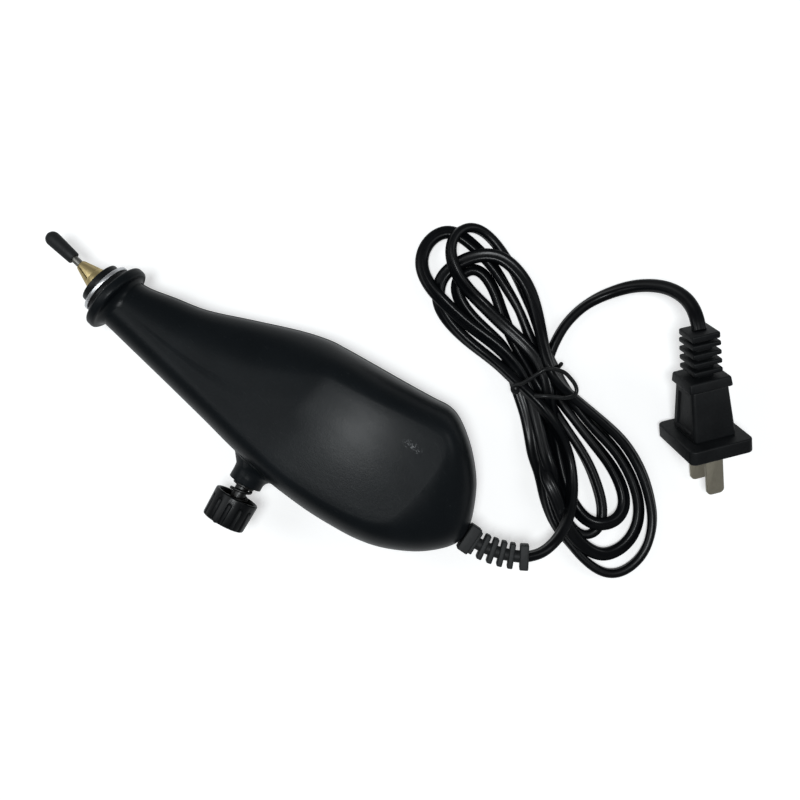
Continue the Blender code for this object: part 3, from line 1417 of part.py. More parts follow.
def build_cord(cord_frame, hank_frame, pen):
    loops = hank_points()
    gap = least_self_gap(loops, CORD_RADIUS, HANK_LOOP_POINTS // 4)
    print(f"hank: least gap of the cord to itself {gap * 1000:.2f} mm, "
          f"wanted over {HANK_LEAST_GAP * 1000:.2f} mm")
    tube("cord_hank", loops, CORD_RADIUS, hank_frame, cord_black, 1)
    to_cord = hank_frame.matrix_local
    pen_to_cord = cord_frame.matrix_local.inverted() @ pen.matrix_local
    heading = (to_cord.to_3x3() @ (loops[0] - loops[1])).normalized()
    arrival = to_cord @ loops[0] + heading * CLEARANCE
    exit_place = pen_to_cord @ relief_matrix(RELIEF_LENGTH + CLEARANCE).to_translation()
    exit_run = (pen_to_cord @ relief_matrix(RELIEF_LENGTH)).to_3x3() @ Vector((1, 0, 0))
    route = [exit_place, exit_place + exit_run * 2 * CORD_RADIUS]
    route += [Vector(place) for place in CORD_FROM_PEN_ROUTE]
    route += [arrival + heading * 2 * CORD_RADIUS, arrival]
    points = free_line(route, 4.2 * CORD_RADIUS)
    tube("cord_from_pen", points, CORD_RADIUS, cord_frame, cord_black)
    heading = (to_cord.to_3x3() @ (loops[-1] - loops[-2])).normalized()
    leaving = to_cord @ loops[-1] + heading * CLEARANCE
    plug = plug_matrix()
    plug_end = plug @ Vector((0, 0, -plug_length() - CLEARANCE))
    plug_run = plug.to_3x3() @ Vector((0, 0, -1))
    route = [leaving, leaving + heading * 2 * CORD_RADIUS]
    route += [Vector(place) for place in CORD_TO_PLUG_ROUTE]
    route += [plug_end + plug_run * 2 * CORD_RADIUS, plug_end]
    points = free_line(route, 4.2 * CORD_RADIUS)
    tube("cord_to_plug", points, CORD_RADIUS, cord_frame, cord_black)
    points = free_line(TIE_ROUTE, 4 * TIE_RADIUS)
    tube("hank_tie", points, TIE_RADIUS, hank_frame, black_plastic, 1)


# Plug

def plug_matrix():
    across = Vector(PLUG_AXES[0]).normalized()
    apart = Vector(PLUG_AXES[1])
    apart = (apart - across * apart.dot(across)).normalized()
    along = across.cross(apart)
    turn = Matrix((across, apart, along)).transposed().to_4x4()
    return Matrix.Translation((PLUG_X, PLUG_Y, PLUG_Z)) @ turn


def plug_length():
    return (PLUG_FLANGE_THICKNESS + PLUG_BODY_LENGTH + PLUG_SHOULDER_LENGTH
            + PLUG_RELIEF_LENGTH)


def tapered_block(name, start, end, start_size, end_size, parent, rounding):
    """A block along Z whose section changes from one rectangle to another."""
    mesh = bpy.data.meshes.new(name)
    work = bmesh.new()
    bmesh.ops.create_cube(work, size=1)
    for vert in work.verts:
        at_end = vert.co.z > 0
        size = end_size if at_end else start_size
        vert.co = Vector((vert.co.x * size[0], vert.co.y * size[1], end if at_end else start))
    work.to_mesh(mesh)
    work.free()
    thing = add_object(name, mesh, parent, black_plastic)
    bevel = thing.modifiers.new("Rounded", "BEVEL")
    bevel.width = rounding
    bevel.segments = 2
    bevel.limit_method = "NONE"
    return thing


def build_plug(plug):
    flange = flat_piece("plug_flange_form", [rounded_rectangle(
        PLUG_FLANGE_WIDTH, PLUG_FLANGE_HEIGHT, PLUG_CORNER)], PLUG_FLANGE_THICKNESS / 2, plug,
        black_plastic, Matrix.Translation((0, 0, -PLUG_FLANGE_THICKNESS / 2)))
    flange = welded_mesh(flange)
    bevel = flange.modifiers.new("Edge", "BEVEL")
    bevel.width = PLUG_EDGE
    bevel.segments = 1
    bevel.angle_limit = math.radians(40)
    body_back = -PLUG_FLANGE_THICKNESS - PLUG_BODY_LENGTH
    shoulder_back = body_back - PLUG_SHOULDER_LENGTH
    body = tapered_block("plug_body", body_back - PLUG_EDGE, -PLUG_EDGE,
                         (PLUG_NECK_WIDTH, PLUG_NECK_HEIGHT),
                         (PLUG_BODY_WIDTH, PLUG_BODY_HEIGHT), plug, PLUG_EDGE)
    shoulder = tapered_block("plug_shoulder_form", shoulder_back, body_back,
                             (PLUG_SHOULDER_WIDTH, PLUG_SHOULDER_HEIGHT),
                             (PLUG_SHOULDER_WIDTH, PLUG_SHOULDER_HEIGHT), plug, PLUG_EDGE)
    core = tapered_block("plug_core_form", -plug_length() + PLUG_EDGE, body_back,
                         (PLUG_CORE_WIDTH, PLUG_CORE_HEIGHT),
                         (PLUG_CORE_WIDTH, PLUG_CORE_HEIGHT), plug, PLUG_EDGE)
    end = tapered_block("plug_end_form", -plug_length(), -plug_length() + PLUG_END_THICKNESS,
                        (PLUG_END_WIDTH, PLUG_END_HEIGHT), (PLUG_END_WIDTH, PLUG_END_HEIGHT),
                        plug, PLUG_EDGE)
    forms = [flange, shoulder, core, end]
    for index in range(PLUG_RIBS):
        back = -plug_length() + PLUG_END_THICKNESS / 2 + (index + 1) * PLUG_RIB_PITCH
        forms.append(tapered_block(
            f"plug_rib_{index}", back - PLUG_RIB_THICKNESS / 2, back + PLUG_RIB_THICKNESS / 2,
            (PLUG_RIB_WIDTH, PLUG_RIB_HEIGHT), (PLUG_RIB_WIDTH, PLUG_RIB_HEIGHT), plug,
            PLUG_EDGE))
    for form in forms:
        boolean(body, "UNION", as_cutter(form))
    cut_panels(body, plug, body_back)
    for index, side in enumerate((1, -1)):
        blade(f"plug_blade_{index + 1}", side * BLADE_SPACING / 2, plug)
        gap = CLEARANCE
        pocket = block(
            f"blade_pocket_{index}",
            (-BLADE_WIDTH / 2 - gap, side * BLADE_SPACING / 2 - BLADE_THICKNESS / 2 - gap,
             -BLADE_ROOT - gap),
            (BLADE_WIDTH / 2 + gap, side * BLADE_SPACING / 2 + BLADE_THICKNESS / 2 + gap,
             OVERRUN),
            plug, black_plastic)
        boolean(body, "DIFFERENCE", as_cutter(pocket))


def cut_panels(body, plug, body_back):
    """A sunk panel on each narrow side of the body, which tapers as the body does."""
    margin = PLUG_PANEL_MARGIN
    for side in (-1, 1):
        corners = []
        for place, half in ((body_back + margin, PLUG_NECK_HEIGHT / 2 - margin / 2),
                            (-PLUG_FLANGE_THICKNESS - margin, PLUG_BODY_HEIGHT / 2 - margin)):
            corners.append((place, half))
        (back, back_half), (front, front_half) = corners
        mesh = bpy.data.meshes.new("panel_cut")
        work = bmesh.new()
        bmesh.ops.create_cube(work, size=1)
        share_back = (back - body_back) / PLUG_BODY_LENGTH
        share_front = (front - body_back) / PLUG_BODY_LENGTH
        spread = PLUG_BODY_WIDTH - PLUG_NECK_WIDTH
        for vert in work.verts:
            at_front = vert.co.z > 0
            outside = vert.co.x > 0
            share = share_front if at_front else share_back
            wall = (PLUG_NECK_WIDTH + spread * share) / 2
            x = wall + OVERRUN if outside else wall - PLUG_PANEL_DEPTH
            half = front_half if at_front else back_half
            vert.co = Vector((side * x, 2 * vert.co.y * half, front if at_front else back))
        if side < 0:
            bmesh.ops.reverse_faces(work, faces=work.faces)
        work.to_mesh(mesh)
        work.free()
        cut = add_object(f"panel_cut_{'left' if side < 0 else 'right'}", mesh, plug,
                         black_plastic)
        boolean(body, "DIFFERENCE", as_cutter(cut))


def rounded_rectangle(width, height, radius, count=4):
    places = []
    corners = [(1, 1, 0), (-1, 1, 0.5), (-1, -1, 1.0), (1, -1, 1.5)]
    for x_side, y_side, turn in corners:
        places += circle_outline(x_side * (width / 2 - radius), y_side * (height / 2 - radius),
                                 radius, count, turn * math.pi, (turn + 0.5) * math.pi)
    return places


def blade(name, across, plug):
    """A flat pin with a half-round end, its root inside the body."""
    half = BLADE_WIDTH / 2
    outline = [(-BLADE_ROOT, -half)]
    outline += circle_outline(BLADE_LENGTH - half, 0, half, 10, -math.pi / 2, math.pi / 2)
    outline.append((-BLADE_ROOT, half))
    stand = Matrix(((0, 1, 0, 0), (0, 0, 1, across), (1, 0, 0, 0), (0, 0, 0, 1)))
    return flat_piece(name, [outline], BLADE_THICKNESS / 2, plug, blade_metal, stand)


def blade_metal(name):
    return make_material(name, (0.34, 0.31, 0.23), 0.30, 1.0)


def build_all():
    global PARTS, CUTTERS
    clear_scene()
    PARTS = new_collection(COLLECTION_NAME)
    CUTTERS = new_collection(CUTTER_COLLECTION_NAME)
    pen = add_empty("pen_frame", Matrix.Translation((NOSE_X, AXIS_Y, HALF_HEIGHT)))
    pivot = add_empty("armature_pivot", Matrix.Translation((PIVOT_X, PIVOT_Y, 0)), pen)
    outward = Matrix.Rotation(ADJUSTER_TILT, 4, "Z") @ Matrix.Rotation(math.pi / 2, 4, "X")
    adjuster = add_empty("adjuster_axis",
                         Matrix.Translation((ADJUSTER_X, ADJUSTER_Y, 0)) @ outward, pen)
    cord_frame = add_empty("cord_frame", Matrix.Translation((CORD_FRAME_X, CORD_FRAME_Y, 0))
                           @ Matrix.Rotation(CORD_FRAME_TURN, 4, "Z"))
    hank_frame = add_empty("hank_frame", Matrix.Translation((HANK_X, HANK_Y, 0))
                           @ Matrix.Rotation(HANK_TURN, 4, "Z"), cord_frame)
    plug = add_empty("plug_frame", plug_matrix(), cord_frame)
    bpy.context.view_layer.update()
    build_housing(pen, adjuster)
    build_shell_screws(pen)
    build_nose(pen)
    build_shaft(pen)
    build_needle(pen)
    build_armature(pen, pivot)
    build_magnet(pen)
    build_adjuster(adjuster)
    build_relief(pen)
    build_inner_cord(pen)
    build_cord_clamp(pen)
    build_cord(cord_frame, hank_frame, pen)
    build_plug(plug)


build_all()
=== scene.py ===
"""Electric engraving pen with its corded plug, finished for a picture."""

import math

import bmesh
import bpy
import numpy as np
from mathutils import Matrix, Vector
from mathutils.bvhtree import BVHTree


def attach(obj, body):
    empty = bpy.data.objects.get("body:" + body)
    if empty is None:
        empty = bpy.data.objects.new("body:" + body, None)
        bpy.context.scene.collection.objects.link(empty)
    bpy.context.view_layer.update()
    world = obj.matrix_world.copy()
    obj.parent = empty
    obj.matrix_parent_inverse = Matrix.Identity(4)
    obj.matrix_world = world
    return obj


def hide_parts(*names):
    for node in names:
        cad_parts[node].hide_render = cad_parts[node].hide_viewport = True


bl_info = {
    "name": "Electric engraving pen",
    "version": (1, 0, 0),
    "blender": (4, 5, 0),
    "location": "View3D > Sidebar > Engraving pen",
    "description": "Finishes an electric engraving pen, its tied cord and its plug",
    "category": "Object",
}

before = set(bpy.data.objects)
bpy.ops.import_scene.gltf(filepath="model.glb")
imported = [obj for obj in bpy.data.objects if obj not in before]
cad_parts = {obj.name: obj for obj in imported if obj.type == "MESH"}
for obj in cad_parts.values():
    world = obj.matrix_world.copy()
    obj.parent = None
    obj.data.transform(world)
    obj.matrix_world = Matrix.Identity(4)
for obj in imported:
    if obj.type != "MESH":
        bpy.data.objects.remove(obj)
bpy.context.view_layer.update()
MM = 0.001


# Sizes and colours that a user would change

def length(label, value, note):
    return bpy.props.FloatProperty(name=label, description=note, default=value,
                                   min=0, subtype="DISTANCE", unit="LENGTH")


def colour(label, value, note):
    return bpy.props.FloatVectorProperty(name=label, description=note, default=value,
                                         min=0, max=1, size=3, subtype="COLOR")


class HousingSizes(bpy.types.PropertyGroup):
    edge: length("Seam edge", 0.00022, "Rounding of the two halves at their seam")
    flange: length("Flange radius", 0.0132, "Radius of the flange at the nose")
    wall: length("Wall", 0.0022, "Thickness of the two halves")


class KnobSizes(bpy.types.PropertyGroup):
    radius: length("Radius", 0.0082, "Radius of the adjuster knob at its rim")
    flute: length("Flute radius", 0.0010, "Radius of the flutes round the knob")
    flutes: bpy.props.IntProperty(name="Flutes", description="Flutes round the knob",
                                  default=12, min=3)
    spring_wire: length("Spring wire", 0.0011, "Thickness of the spring's wire")


class CordSizes(bpy.types.PropertyGroup):
    width: length("Width", 0.0050, "Width of the flat twin cord")
    thickness: length("Thickness", 0.0037, "Thickness of the flat twin cord")
    groove: length("Groove", 0.00042, "Depth of the groove between the two cores")
    tie: length("Tie wire", 0.0015, "Thickness of the tie's wire")


class PlugSizes(bpy.types.PropertyGroup):
    blade_width: length("Blade width", 0.0066, "Width of a plug blade")
    blade_end: length("Blade corner", 0.0018, "Rounding of the corners of a blade's end")
    blade_thickness: length("Blade thickness", 0.0015, "Thickness of a plug blade")
    rounding: length("Rounding", 0.0006, "Rounding of the moulded edges")


class StageColours(bpy.types.PropertyGroup):
    floor: colour("Floor", (0.74, 0.74, 0.74), "Colour of the pale floor")
    plastic: colour("Housing", (0.0040, 0.0054, 0.0066), "Colour of the housing's plastic")
    rubber: colour("Rubber", (0.0112, 0.0122, 0.0128), "Colour of relief and tip cap")
    jacket: colour("Cord", (0.0014, 0.0018, 0.0024), "Colour of the cord's jacket")
    brass: colour("Brass", (0.66, 0.53, 0.27), "Colour of the brass pieces")


GROUPS = {"housing": HousingSizes, "knob": KnobSizes, "cord": CordSizes,
          "plug": PlugSizes, "colours": StageColours}


# Frames of the object: pen, adjuster, cord, plug, nose and strain relief

def frame_at(place, across, up):
    """A frame at a place in mm, from its X axis and a direction close to its Y axis."""
    across = Vector(across).normalized()
    up = Vector(up)
    up = (up - across * up.dot(across)).normalized()
    return (Matrix.Translation(Vector(place) * MM)
            @ Matrix((across, up, across.cross(up))).transposed().to_4x4())


VIEW_TURN = math.radians(43)
CAMERA_HEIGHT = 380
SEAM_LEVEL = 21
PEN = Matrix.Translation((-98 * MM, -19 * MM, SEAM_LEVEL * MM))
ADJUSTER = frame_at((-20, -36.1, SEAM_LEVEL), (0.972776, 0.231748, 0), (0, 0, 1))
CORD = Matrix.Translation((0.2 * MM, 23.3 * MM, 0)) @ Matrix.Rotation(VIEW_TURN, 4, "Z")
PLUG = CORD @ frame_at((110.7, -15.3, 13.96), (0.967, 0.229, -0.114), (0.195, -0.372, 0.908))
NOSE = PEN @ Matrix(((0, 0, 1, 0), (0, 1, 0, 0), (-1, 0, 0, 0), (0, 0, 0, 1)))
RELIEF_ROOT = (148.6, 22.9, 0)
RELIEF_LENGTH = 23.6
RELIEF_STEPS = 24


def relief_turn(share):
    """The strain relief's direction at a share of its bent line."""
    return (Matrix.Rotation(math.radians(7 + 36 * share), 4, "Z")
            @ Matrix.Rotation(-math.radians(6 * share), 4, "Y"))


def relief_place(distance):
    """The strain relief's frame at a distance in mm along its bent line."""
    place = Vector(RELIEF_ROOT)
    share = distance / RELIEF_LENGTH
    for step in range(RELIEF_STEPS):
        heading = relief_turn(share * (step + 0.5) / RELIEF_STEPS) @ Vector((1, 0, 0))
        place += heading * distance / RELIEF_STEPS
    return PEN @ Matrix.Translation(place * MM) @ relief_turn(share)


# Materials; sizes of their patterns are in mm

class Amount:
    """A number that varies over a surface; plain arithmetic on it adds Math nodes."""

    def __init__(self, finish, socket):
        self.finish = finish
        self.socket = socket

    def maths(self, operation, first, second):
        node = self.finish.node("ShaderNodeMath", {"operation": operation},
                                {0: first, 1: second})
        return Amount(self.finish, node.outputs[0])

    def __add__(self, other):
        return self.maths("ADD", self, other)

    __radd__ = __add__

    def __mul__(self, other):
        return self.maths("MULTIPLY", self, other)

    def __rsub__(self, other):
        return self.maths("SUBTRACT", other, self)

    def over(self, low, high):
        """Zero below low, one above high and even between them."""
        node = self.finish.node("ShaderNodeMapRange", {"clamp": True},
                                {"Value": self, "From Min": low, "From Max": high})
        return Amount(self.finish, node.outputs["Result"])


class Finish:
    """A material, its shader and the places that its patterns read."""

    def __init__(self, name, base, roughness, metallic=0.0, **settings):
        self.material = bpy.data.materials.new(name)
        self.material.use_nodes = True
        self.material.diffuse_color = (*base, 1)
        self.tree = self.material.node_tree
        self.shader = self.tree.nodes["Principled BSDF"]
        self.shader.inputs["Base Color"].default_value = (*base, 1)
        self.shader.inputs["Roughness"].default_value = roughness
        self.shader.inputs["Metallic"].default_value = metallic
        for socket, value in settings.items():
            self.shader.inputs[socket.replace("_", " ")].default_value = value
        self.place = self.node("ShaderNodeTexCoord").outputs["Object"]

    def node(self, kind, settings=None, sockets=None):
        node = self.tree.nodes.new(kind)
        for name, value in (settings or {}).items():
            setattr(node, name, value)
        for name, value in (sockets or {}).items():
            self.feed(node.inputs[name], value)
        return node

    def feed(self, socket, value):
        if isinstance(value, Amount):
            value = value.socket
        if isinstance(value, bpy.types.NodeSocket):
            self.tree.links.new(value, socket)
        else:
            socket.default_value = value

    def noise(self, size, detail=2.0, roughness=0.5, place=None):
        """Cloudy noise whose lumps are about this size."""
        node = self.node("ShaderNodeTexNoise", {}, {
            "Vector": place or self.place, "Scale": 1 / (size * MM), "Detail": detail,
            "Roughness": roughness})
        return Amount(self, node.outputs["Fac"])

    def cells(self, size, feature="F1"):
        node = self.node("ShaderNodeTexVoronoi", {"feature": feature},
                         {"Vector": self.place, "Scale": 1 / (size * MM)})
        return Amount(self, node.outputs["Distance"])

    def stretched(self, scale, turn=(0, 0, 0), place=None):
        """The place with each axis stretched, so that a pattern runs along one of them."""
        return self.node("ShaderNodeMapping", {}, {
            "Vector": place or self.place, "Scale": scale, "Rotation": turn}).outputs[0]

    def mixed(self, share, first, second):
        """A colour between two, each a colour or a socket."""
        def full(value):
            return value if isinstance(value, bpy.types.NodeSocket) else (*value, 1)
        node = self.node("ShaderNodeMix", {"data_type": "RGBA"},
                         {0: share, 6: full(first), 7: full(second)})
        return node.outputs[2]

    def colour(self, value):
        self.feed(self.shader.inputs["Base Color"], value)

    def roughness(self, value):
        self.feed(self.shader.inputs["Roughness"], value)

    def bump(self, height, distance, strength=0.5):
        node = self.node("ShaderNodeBump", {}, {
            "Height": height, "Distance": distance * MM, "Strength": strength})
        self.feed(self.shader.inputs["Normal"], node.outputs["Normal"])


def shifted(base, gain, lift=0.0):
    return tuple(min(1, value * gain + lift) for value in base)


def moulded(name, base, roughness, grain, depth):
    """Moulded plastic or rubber with a fine grain, faint handling marks and dust."""
    made = Finish(name, base, roughness, Specular_IOR_Level=0.18)
    fine = made.noise(grain, 3, 0.6)
    patches = made.noise(16, 3, 0.55)
    smears = made.noise(3.2, 4, 0.6, made.stretched((1.0, 0.35, 0.8), (0.2, 0.1, 0.7)))
    dusty = made.mixed(patches.over(0.42, 0.75) * 0.35 + fine.over(0.4, 0.8) * 0.12, base,
                       shifted(base, 2.2, 0.006))
    specks = 1 - made.cells(2.6).over(0.035, 0.075)
    made.colour(made.mixed(specks * 0.30 * made.noise(9).over(0.5, 0.62), dusty,
                           (0.16, 0.16, 0.15)))
    made.roughness(roughness - 0.09 + patches * 0.12 + smears.over(0.5, 0.8) * 0.10)
    made.bump(fine + made.noise(grain * 3.1, 2) * 0.7, depth, 0.55)
    return made


SCUFF = {"Location": (13.9 * MM, 14.7 * MM, 41.9 * MM), "Rotation": (0, 0, math.radians(10.4)),
         "Scale": (4.4 * MM, 1.9 * MM, 4 * MM)}


def housing_plastic(name, base):
    """The housing's semi-matte plastic, with scuffs near its broad end."""
    made = Finish(name, base, 0.4, Specular_IOR_Level=0.115)
    fine = made.noise(0.45, 3, 0.6)
    patches = made.noise(22, 3, 0.55)
    smears = made.noise(5, 4, 0.62, made.stretched((0.5, 1.3, 1), (0, 0, 0.75)))
    tone = made.mixed(patches.over(0.4, 0.8) * 0.4 + fine.over(0.42, 0.8) * 0.10, base,
                      shifted(base, 2.0, 0.003))
    rub = made.node("ShaderNodeMapping", {"vector_type": "TEXTURE"},
                    {"Vector": made.place, **SCUFF}).outputs[0]
    reach = made.node("ShaderNodeVectorMath", {"operation": "LENGTH"}, {0: rub})
    along = made.node("ShaderNodeSeparateXYZ", {}, {0: rub})
    head = Amount(made, along.outputs["X"]).over(-1.0, 0.6)
    near = (1 - Amount(made, reach.outputs["Value"]).over(0.55, 1.0)) * (head * 0.8 + 0.2)
    streaks = made.noise(0.9, 5, 0.85, made.stretched((0.6, 1.2, 1), (0, 0, 0.4)))
    streaks = streaks.over(0.53, 0.60)
    hairs = made.noise(0.42, 1, 0.5, made.stretched((0.05, 1.0, 1), (0, 0, -0.4)))
    specks = (1 - made.cells(3.4).over(0.025, 0.055)) * made.noise(12).over(0.5, 0.6)
    tone = made.mixed(streaks * near * 0.9, tone, (0.26, 0.27, 0.28))
    made.colour(made.mixed(hairs.over(0.69, 0.73) * 0.03 + specks * 0.22, tone,
                           (0.15, 0.155, 0.16)))
    made.roughness(0.31 + patches * 0.05 + smears.over(0.45, 0.8) * 0.03 + near * streaks * 0.1)
    made.bump(fine + made.noise(1.2, 2) * 0.6, 0.05)
    return made


def turned_metal(name, base, roughness, size, tarnish):
    """Metal with fine tool marks, uneven tarnish and small pits."""
    made = Finish(name, base, roughness, 1.0)
    marks = made.noise(size, 3, 0.6)
    stain = made.noise(2.4, 4, 0.6)
    made.colour(made.mixed(stain.over(0.42, 0.75) * (tarnish * 2) + marks * 0.08, base,
                           shifted(base, 0.45)))
    made.roughness(roughness - 0.06 + stain * 0.16 + marks * 0.05)
    made.bump(marks, 0.010)
    return made


MAP_PER_METRE = 10


def jacket(name, base):
    """Glossy cord jacket whose marks run along it, read from its own map."""
    made = Finish(name, base, 0.30, Specular_IOR_Level=0.14, Coat_Weight=0.04,
                  Coat_Roughness=0.1)
    along = made.node("ShaderNodeUVMap", {"uv_map": "Along"}).outputs[0]
    lines = made.noise(2 * MAP_PER_METRE, 3, 0.6, made.stretched((0.22, 2.0, 1), place=along))
    patches = made.noise(9, 3, 0.55)
    made.colour(made.mixed(lines.over(0.45, 0.8) * 0.4 + patches.over(0.45, 0.8) * 0.3, base,
                           shifted(base, 2.6, 0.004)))
    made.roughness(0.20 + patches * 0.12 + lines * 0.12)
    made.bump(made.noise(0.5, 3) + lines * 0.8, 0.018, 0.4)
    return made


def plug_plastic(name, base):
    """The plug's soft plastic with a fine leather grain."""
    made = Finish(name, base, 0.46, Specular_IOR_Level=0.19)
    leather = made.cells(0.75, "SMOOTH_F1")
    fine = made.noise(0.3, 3, 0.6)
    patches = made.noise(9, 3, 0.55)
    made.colour(made.mixed(patches.over(0.42, 0.8) * 0.35 + leather * 0.25, base,
                           shifted(base, 2.4, 0.006)))
    made.roughness(0.38 + patches * 0.14 + fine * 0.06)
    made.bump(leather * 1.2 + fine * 0.6, 0.05)
    return made


def copper_winding(name, base):
    """Enamelled copper wire, wound in even turns."""
    made = Finish(name, base, 0.34, 0.85)
    turns = made.node("ShaderNodeTexWave", {"wave_type": "BANDS", "bands_direction": "X"},
                      {"Vector": made.place, "Scale": 420, "Distortion": 0.4})
    turn = Amount(made, turns.outputs["Fac"])
    made.colour(made.mixed(turn * 0.5 + made.noise(2) * 0.3, base, (0.20, 0.07, 0.03)))
    made.roughness(0.26 + turn * 0.2)
    made.bump(turn, 0.05, 0.7)
    return made


FLOOR_SIZE = 3.0
FLOOR_GAP = 0.05 * MM
FLOOR_GLOW = 0.42


def pale_floor(name, base):
    """Smooth pale sheet that the camera sees as it is lit."""
    made = Finish(name, base, 0.75, Emission_Strength=1.0)
    made.colour(made.mixed(made.noise(160, 2) * 0.25, base, shifted(base, 0.98)))
    seen = Amount(made, made.node("ShaderNodeLightPath").outputs["Is Camera Ray"])
    made.feed(made.shader.inputs["Emission Color"],
              made.mixed(seen, (0.0, 0.0, 0.0), (FLOOR_GLOW,) * 3))
    return made


# Maker and colour of each material, or the colour's name in the panel; then, where the maker
# takes them, the roughness, the size of grain or tool marks, and the grain's depth or tarnish
MATERIALS = {
    "pale_floor": (pale_floor, "floor"),
    "housing_plastic": (housing_plastic, "plastic"),
    "cord_jacket": (jacket, "jacket"),
    "plug_plastic": (plug_plastic, (0.0028, 0.0034, 0.0040)),
    "black_rubber": (moulded, "rubber", 0.55, 0.30, 0.020),
    "cap_plastic": (moulded, (0.0060, 0.0066, 0.0072), 0.36, 0.26, 0.008),
    "knob_plastic": (moulded, (0.0024, 0.0030, 0.0036), 0.34, 0.30, 0.010),
    "tie_wire": (moulded, (0.0080, 0.0085, 0.0090), 0.34, 0.30, 0.010),
    "cord_black": (moulded, (0.0080, 0.0085, 0.0090), 0.35, 0.30, 0.010),
    "bobbin_plastic": (moulded, (0.09, 0.085, 0.07), 0.50, 0.30, 0.010),
    "brass": (turned_metal, "brass", 0.42, 0.30, 0.10),
    "bright_steel": (turned_metal, (0.74, 0.75, 0.77), 0.34, 0.35, 0.12),
    "dark_steel": (turned_metal, (0.16, 0.155, 0.15), 0.38, 0.30, 0.30),
    "needle_steel": (turned_metal, (0.24, 0.235, 0.22), 0.40, 0.20, 0.30),
    "black_oxide": (turned_metal, (0.05, 0.05, 0.05), 0.40, 0.30, 0.25),
    "blade_metal": (turned_metal, (0.44, 0.41, 0.33), 0.46, 0.50, 0.12),
    "copper_winding": (copper_winding, (0.42, 0.16, 0.06)),
}
# Each material once it is made, by its name
MADE = {}


def finish(name):
    """One material of each kind, made when it is first asked for."""
    if name not in MADE:
        make, base, *values = MATERIALS[name]
        if isinstance(base, str):
            base = tuple(getattr(bpy.context.scene.engraving_pen_colours, base))
        MADE[name] = make(name, base, *values).material
    return MADE[name]


# Modelling helpers, in the way of a hand at Blender's own tools

def nothing_selected():
    if bpy.context.mode != "OBJECT":
        bpy.ops.object.mode_set(mode="OBJECT")
    bpy.ops.object.select_all(action="DESELECT")


def only(piece):
    nothing_selected()
    piece.hide_set(False)
    piece.select_set(True)
    bpy.context.view_layer.objects.active = piece


def edit(piece, kind="VERT"):
    only(piece)
    bpy.context.tool_settings.mesh_select_mode = [kind == item for item in
                                                  ("VERT", "EDGE", "FACE")]
    bpy.ops.object.mode_set(mode="EDIT")


def edit_all(piece):
    edit(piece)
    bpy.ops.mesh.select_all(action="SELECT")


def edit_edges(piece, wanted):
    """Opens a piece with just those edges selected whose two ends pass a test."""
    places = [vert.co for vert in piece.data.vertices]
    for item in (*piece.data.vertices, *piece.data.polygons):
        item.select = False
    for edge in piece.data.edges:
        edge.select = wanted(*(places[index] for index in edge.vertices))
    edit(piece, "EDGE")


def done():
    bpy.ops.object.mode_set(mode="OBJECT")


def facing_out(piece):
    edit_all(piece)
    bpy.ops.mesh.normals_make_consistent(inside=False)
    done()
    return piece


def bevelled(piece, wanted, radius, segments):
    """Rounds the edges that pass a test by a radius in metres."""
    edit_edges(piece, wanted)
    bpy.ops.mesh.bevel(offset=radius, segments=segments, affect="EDGES")
    done()


def apply_modifier(piece, kind, **settings):
    modifier = piece.modifiers.new(kind.title(), kind)
    for name, value in settings.items():
        setattr(modifier, name, value)
    only(piece)
    bpy.ops.object.modifier_apply(modifier=modifier.name)


def rounded(piece, width, angle=30, segments=3):
    """Rounds by a width in metres every edge that is sharper than an angle."""
    apply_modifier(piece, "BEVEL", width=width, segments=segments, limit_method="ANGLE",
                   angle_limit=math.radians(angle))


def cut(piece, tool, operation="DIFFERENCE"):
    apply_modifier(piece, "BOOLEAN", operation=operation, object=tool, solver="EXACT")
    bpy.data.objects.remove(tool)


def turn_about(piece, angle):
    piece.data.transform(Matrix.Rotation(angle, 4, "Z"))
    return piece


def copied(piece, place):
    """A copy with its own mesh, moved by a frame and left with its place in its mesh."""
    twin = piece.copy()
    twin.data = piece.data.copy()
    bpy.context.collection.objects.link(twin)
    twin.data.transform(place)
    return twin


def joined(pieces, name):
    nothing_selected()
    for piece in pieces:
        piece.select_set(True)
    bpy.context.view_layer.objects.active = pieces[0]
    bpy.ops.object.join()
    pieces[0].name = pieces[0].data.name = name
    return pieces[0]


def finished(piece, name, material, nodes=(), place=None, body="housing", angle=35):
    """Puts a piece in its place for good: material, shading, body and the nodes it replaces."""
    if place is not None:
        piece.data.transform(place)
    piece.name = piece.data.name = name
    piece.data.materials.clear()
    piece.data.materials.append(finish(material))
    only(piece)
    bpy.ops.object.shade_smooth_by_angle(angle=math.radians(angle))
    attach(piece, body)
    if nodes:
        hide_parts(*nodes)
    return piece


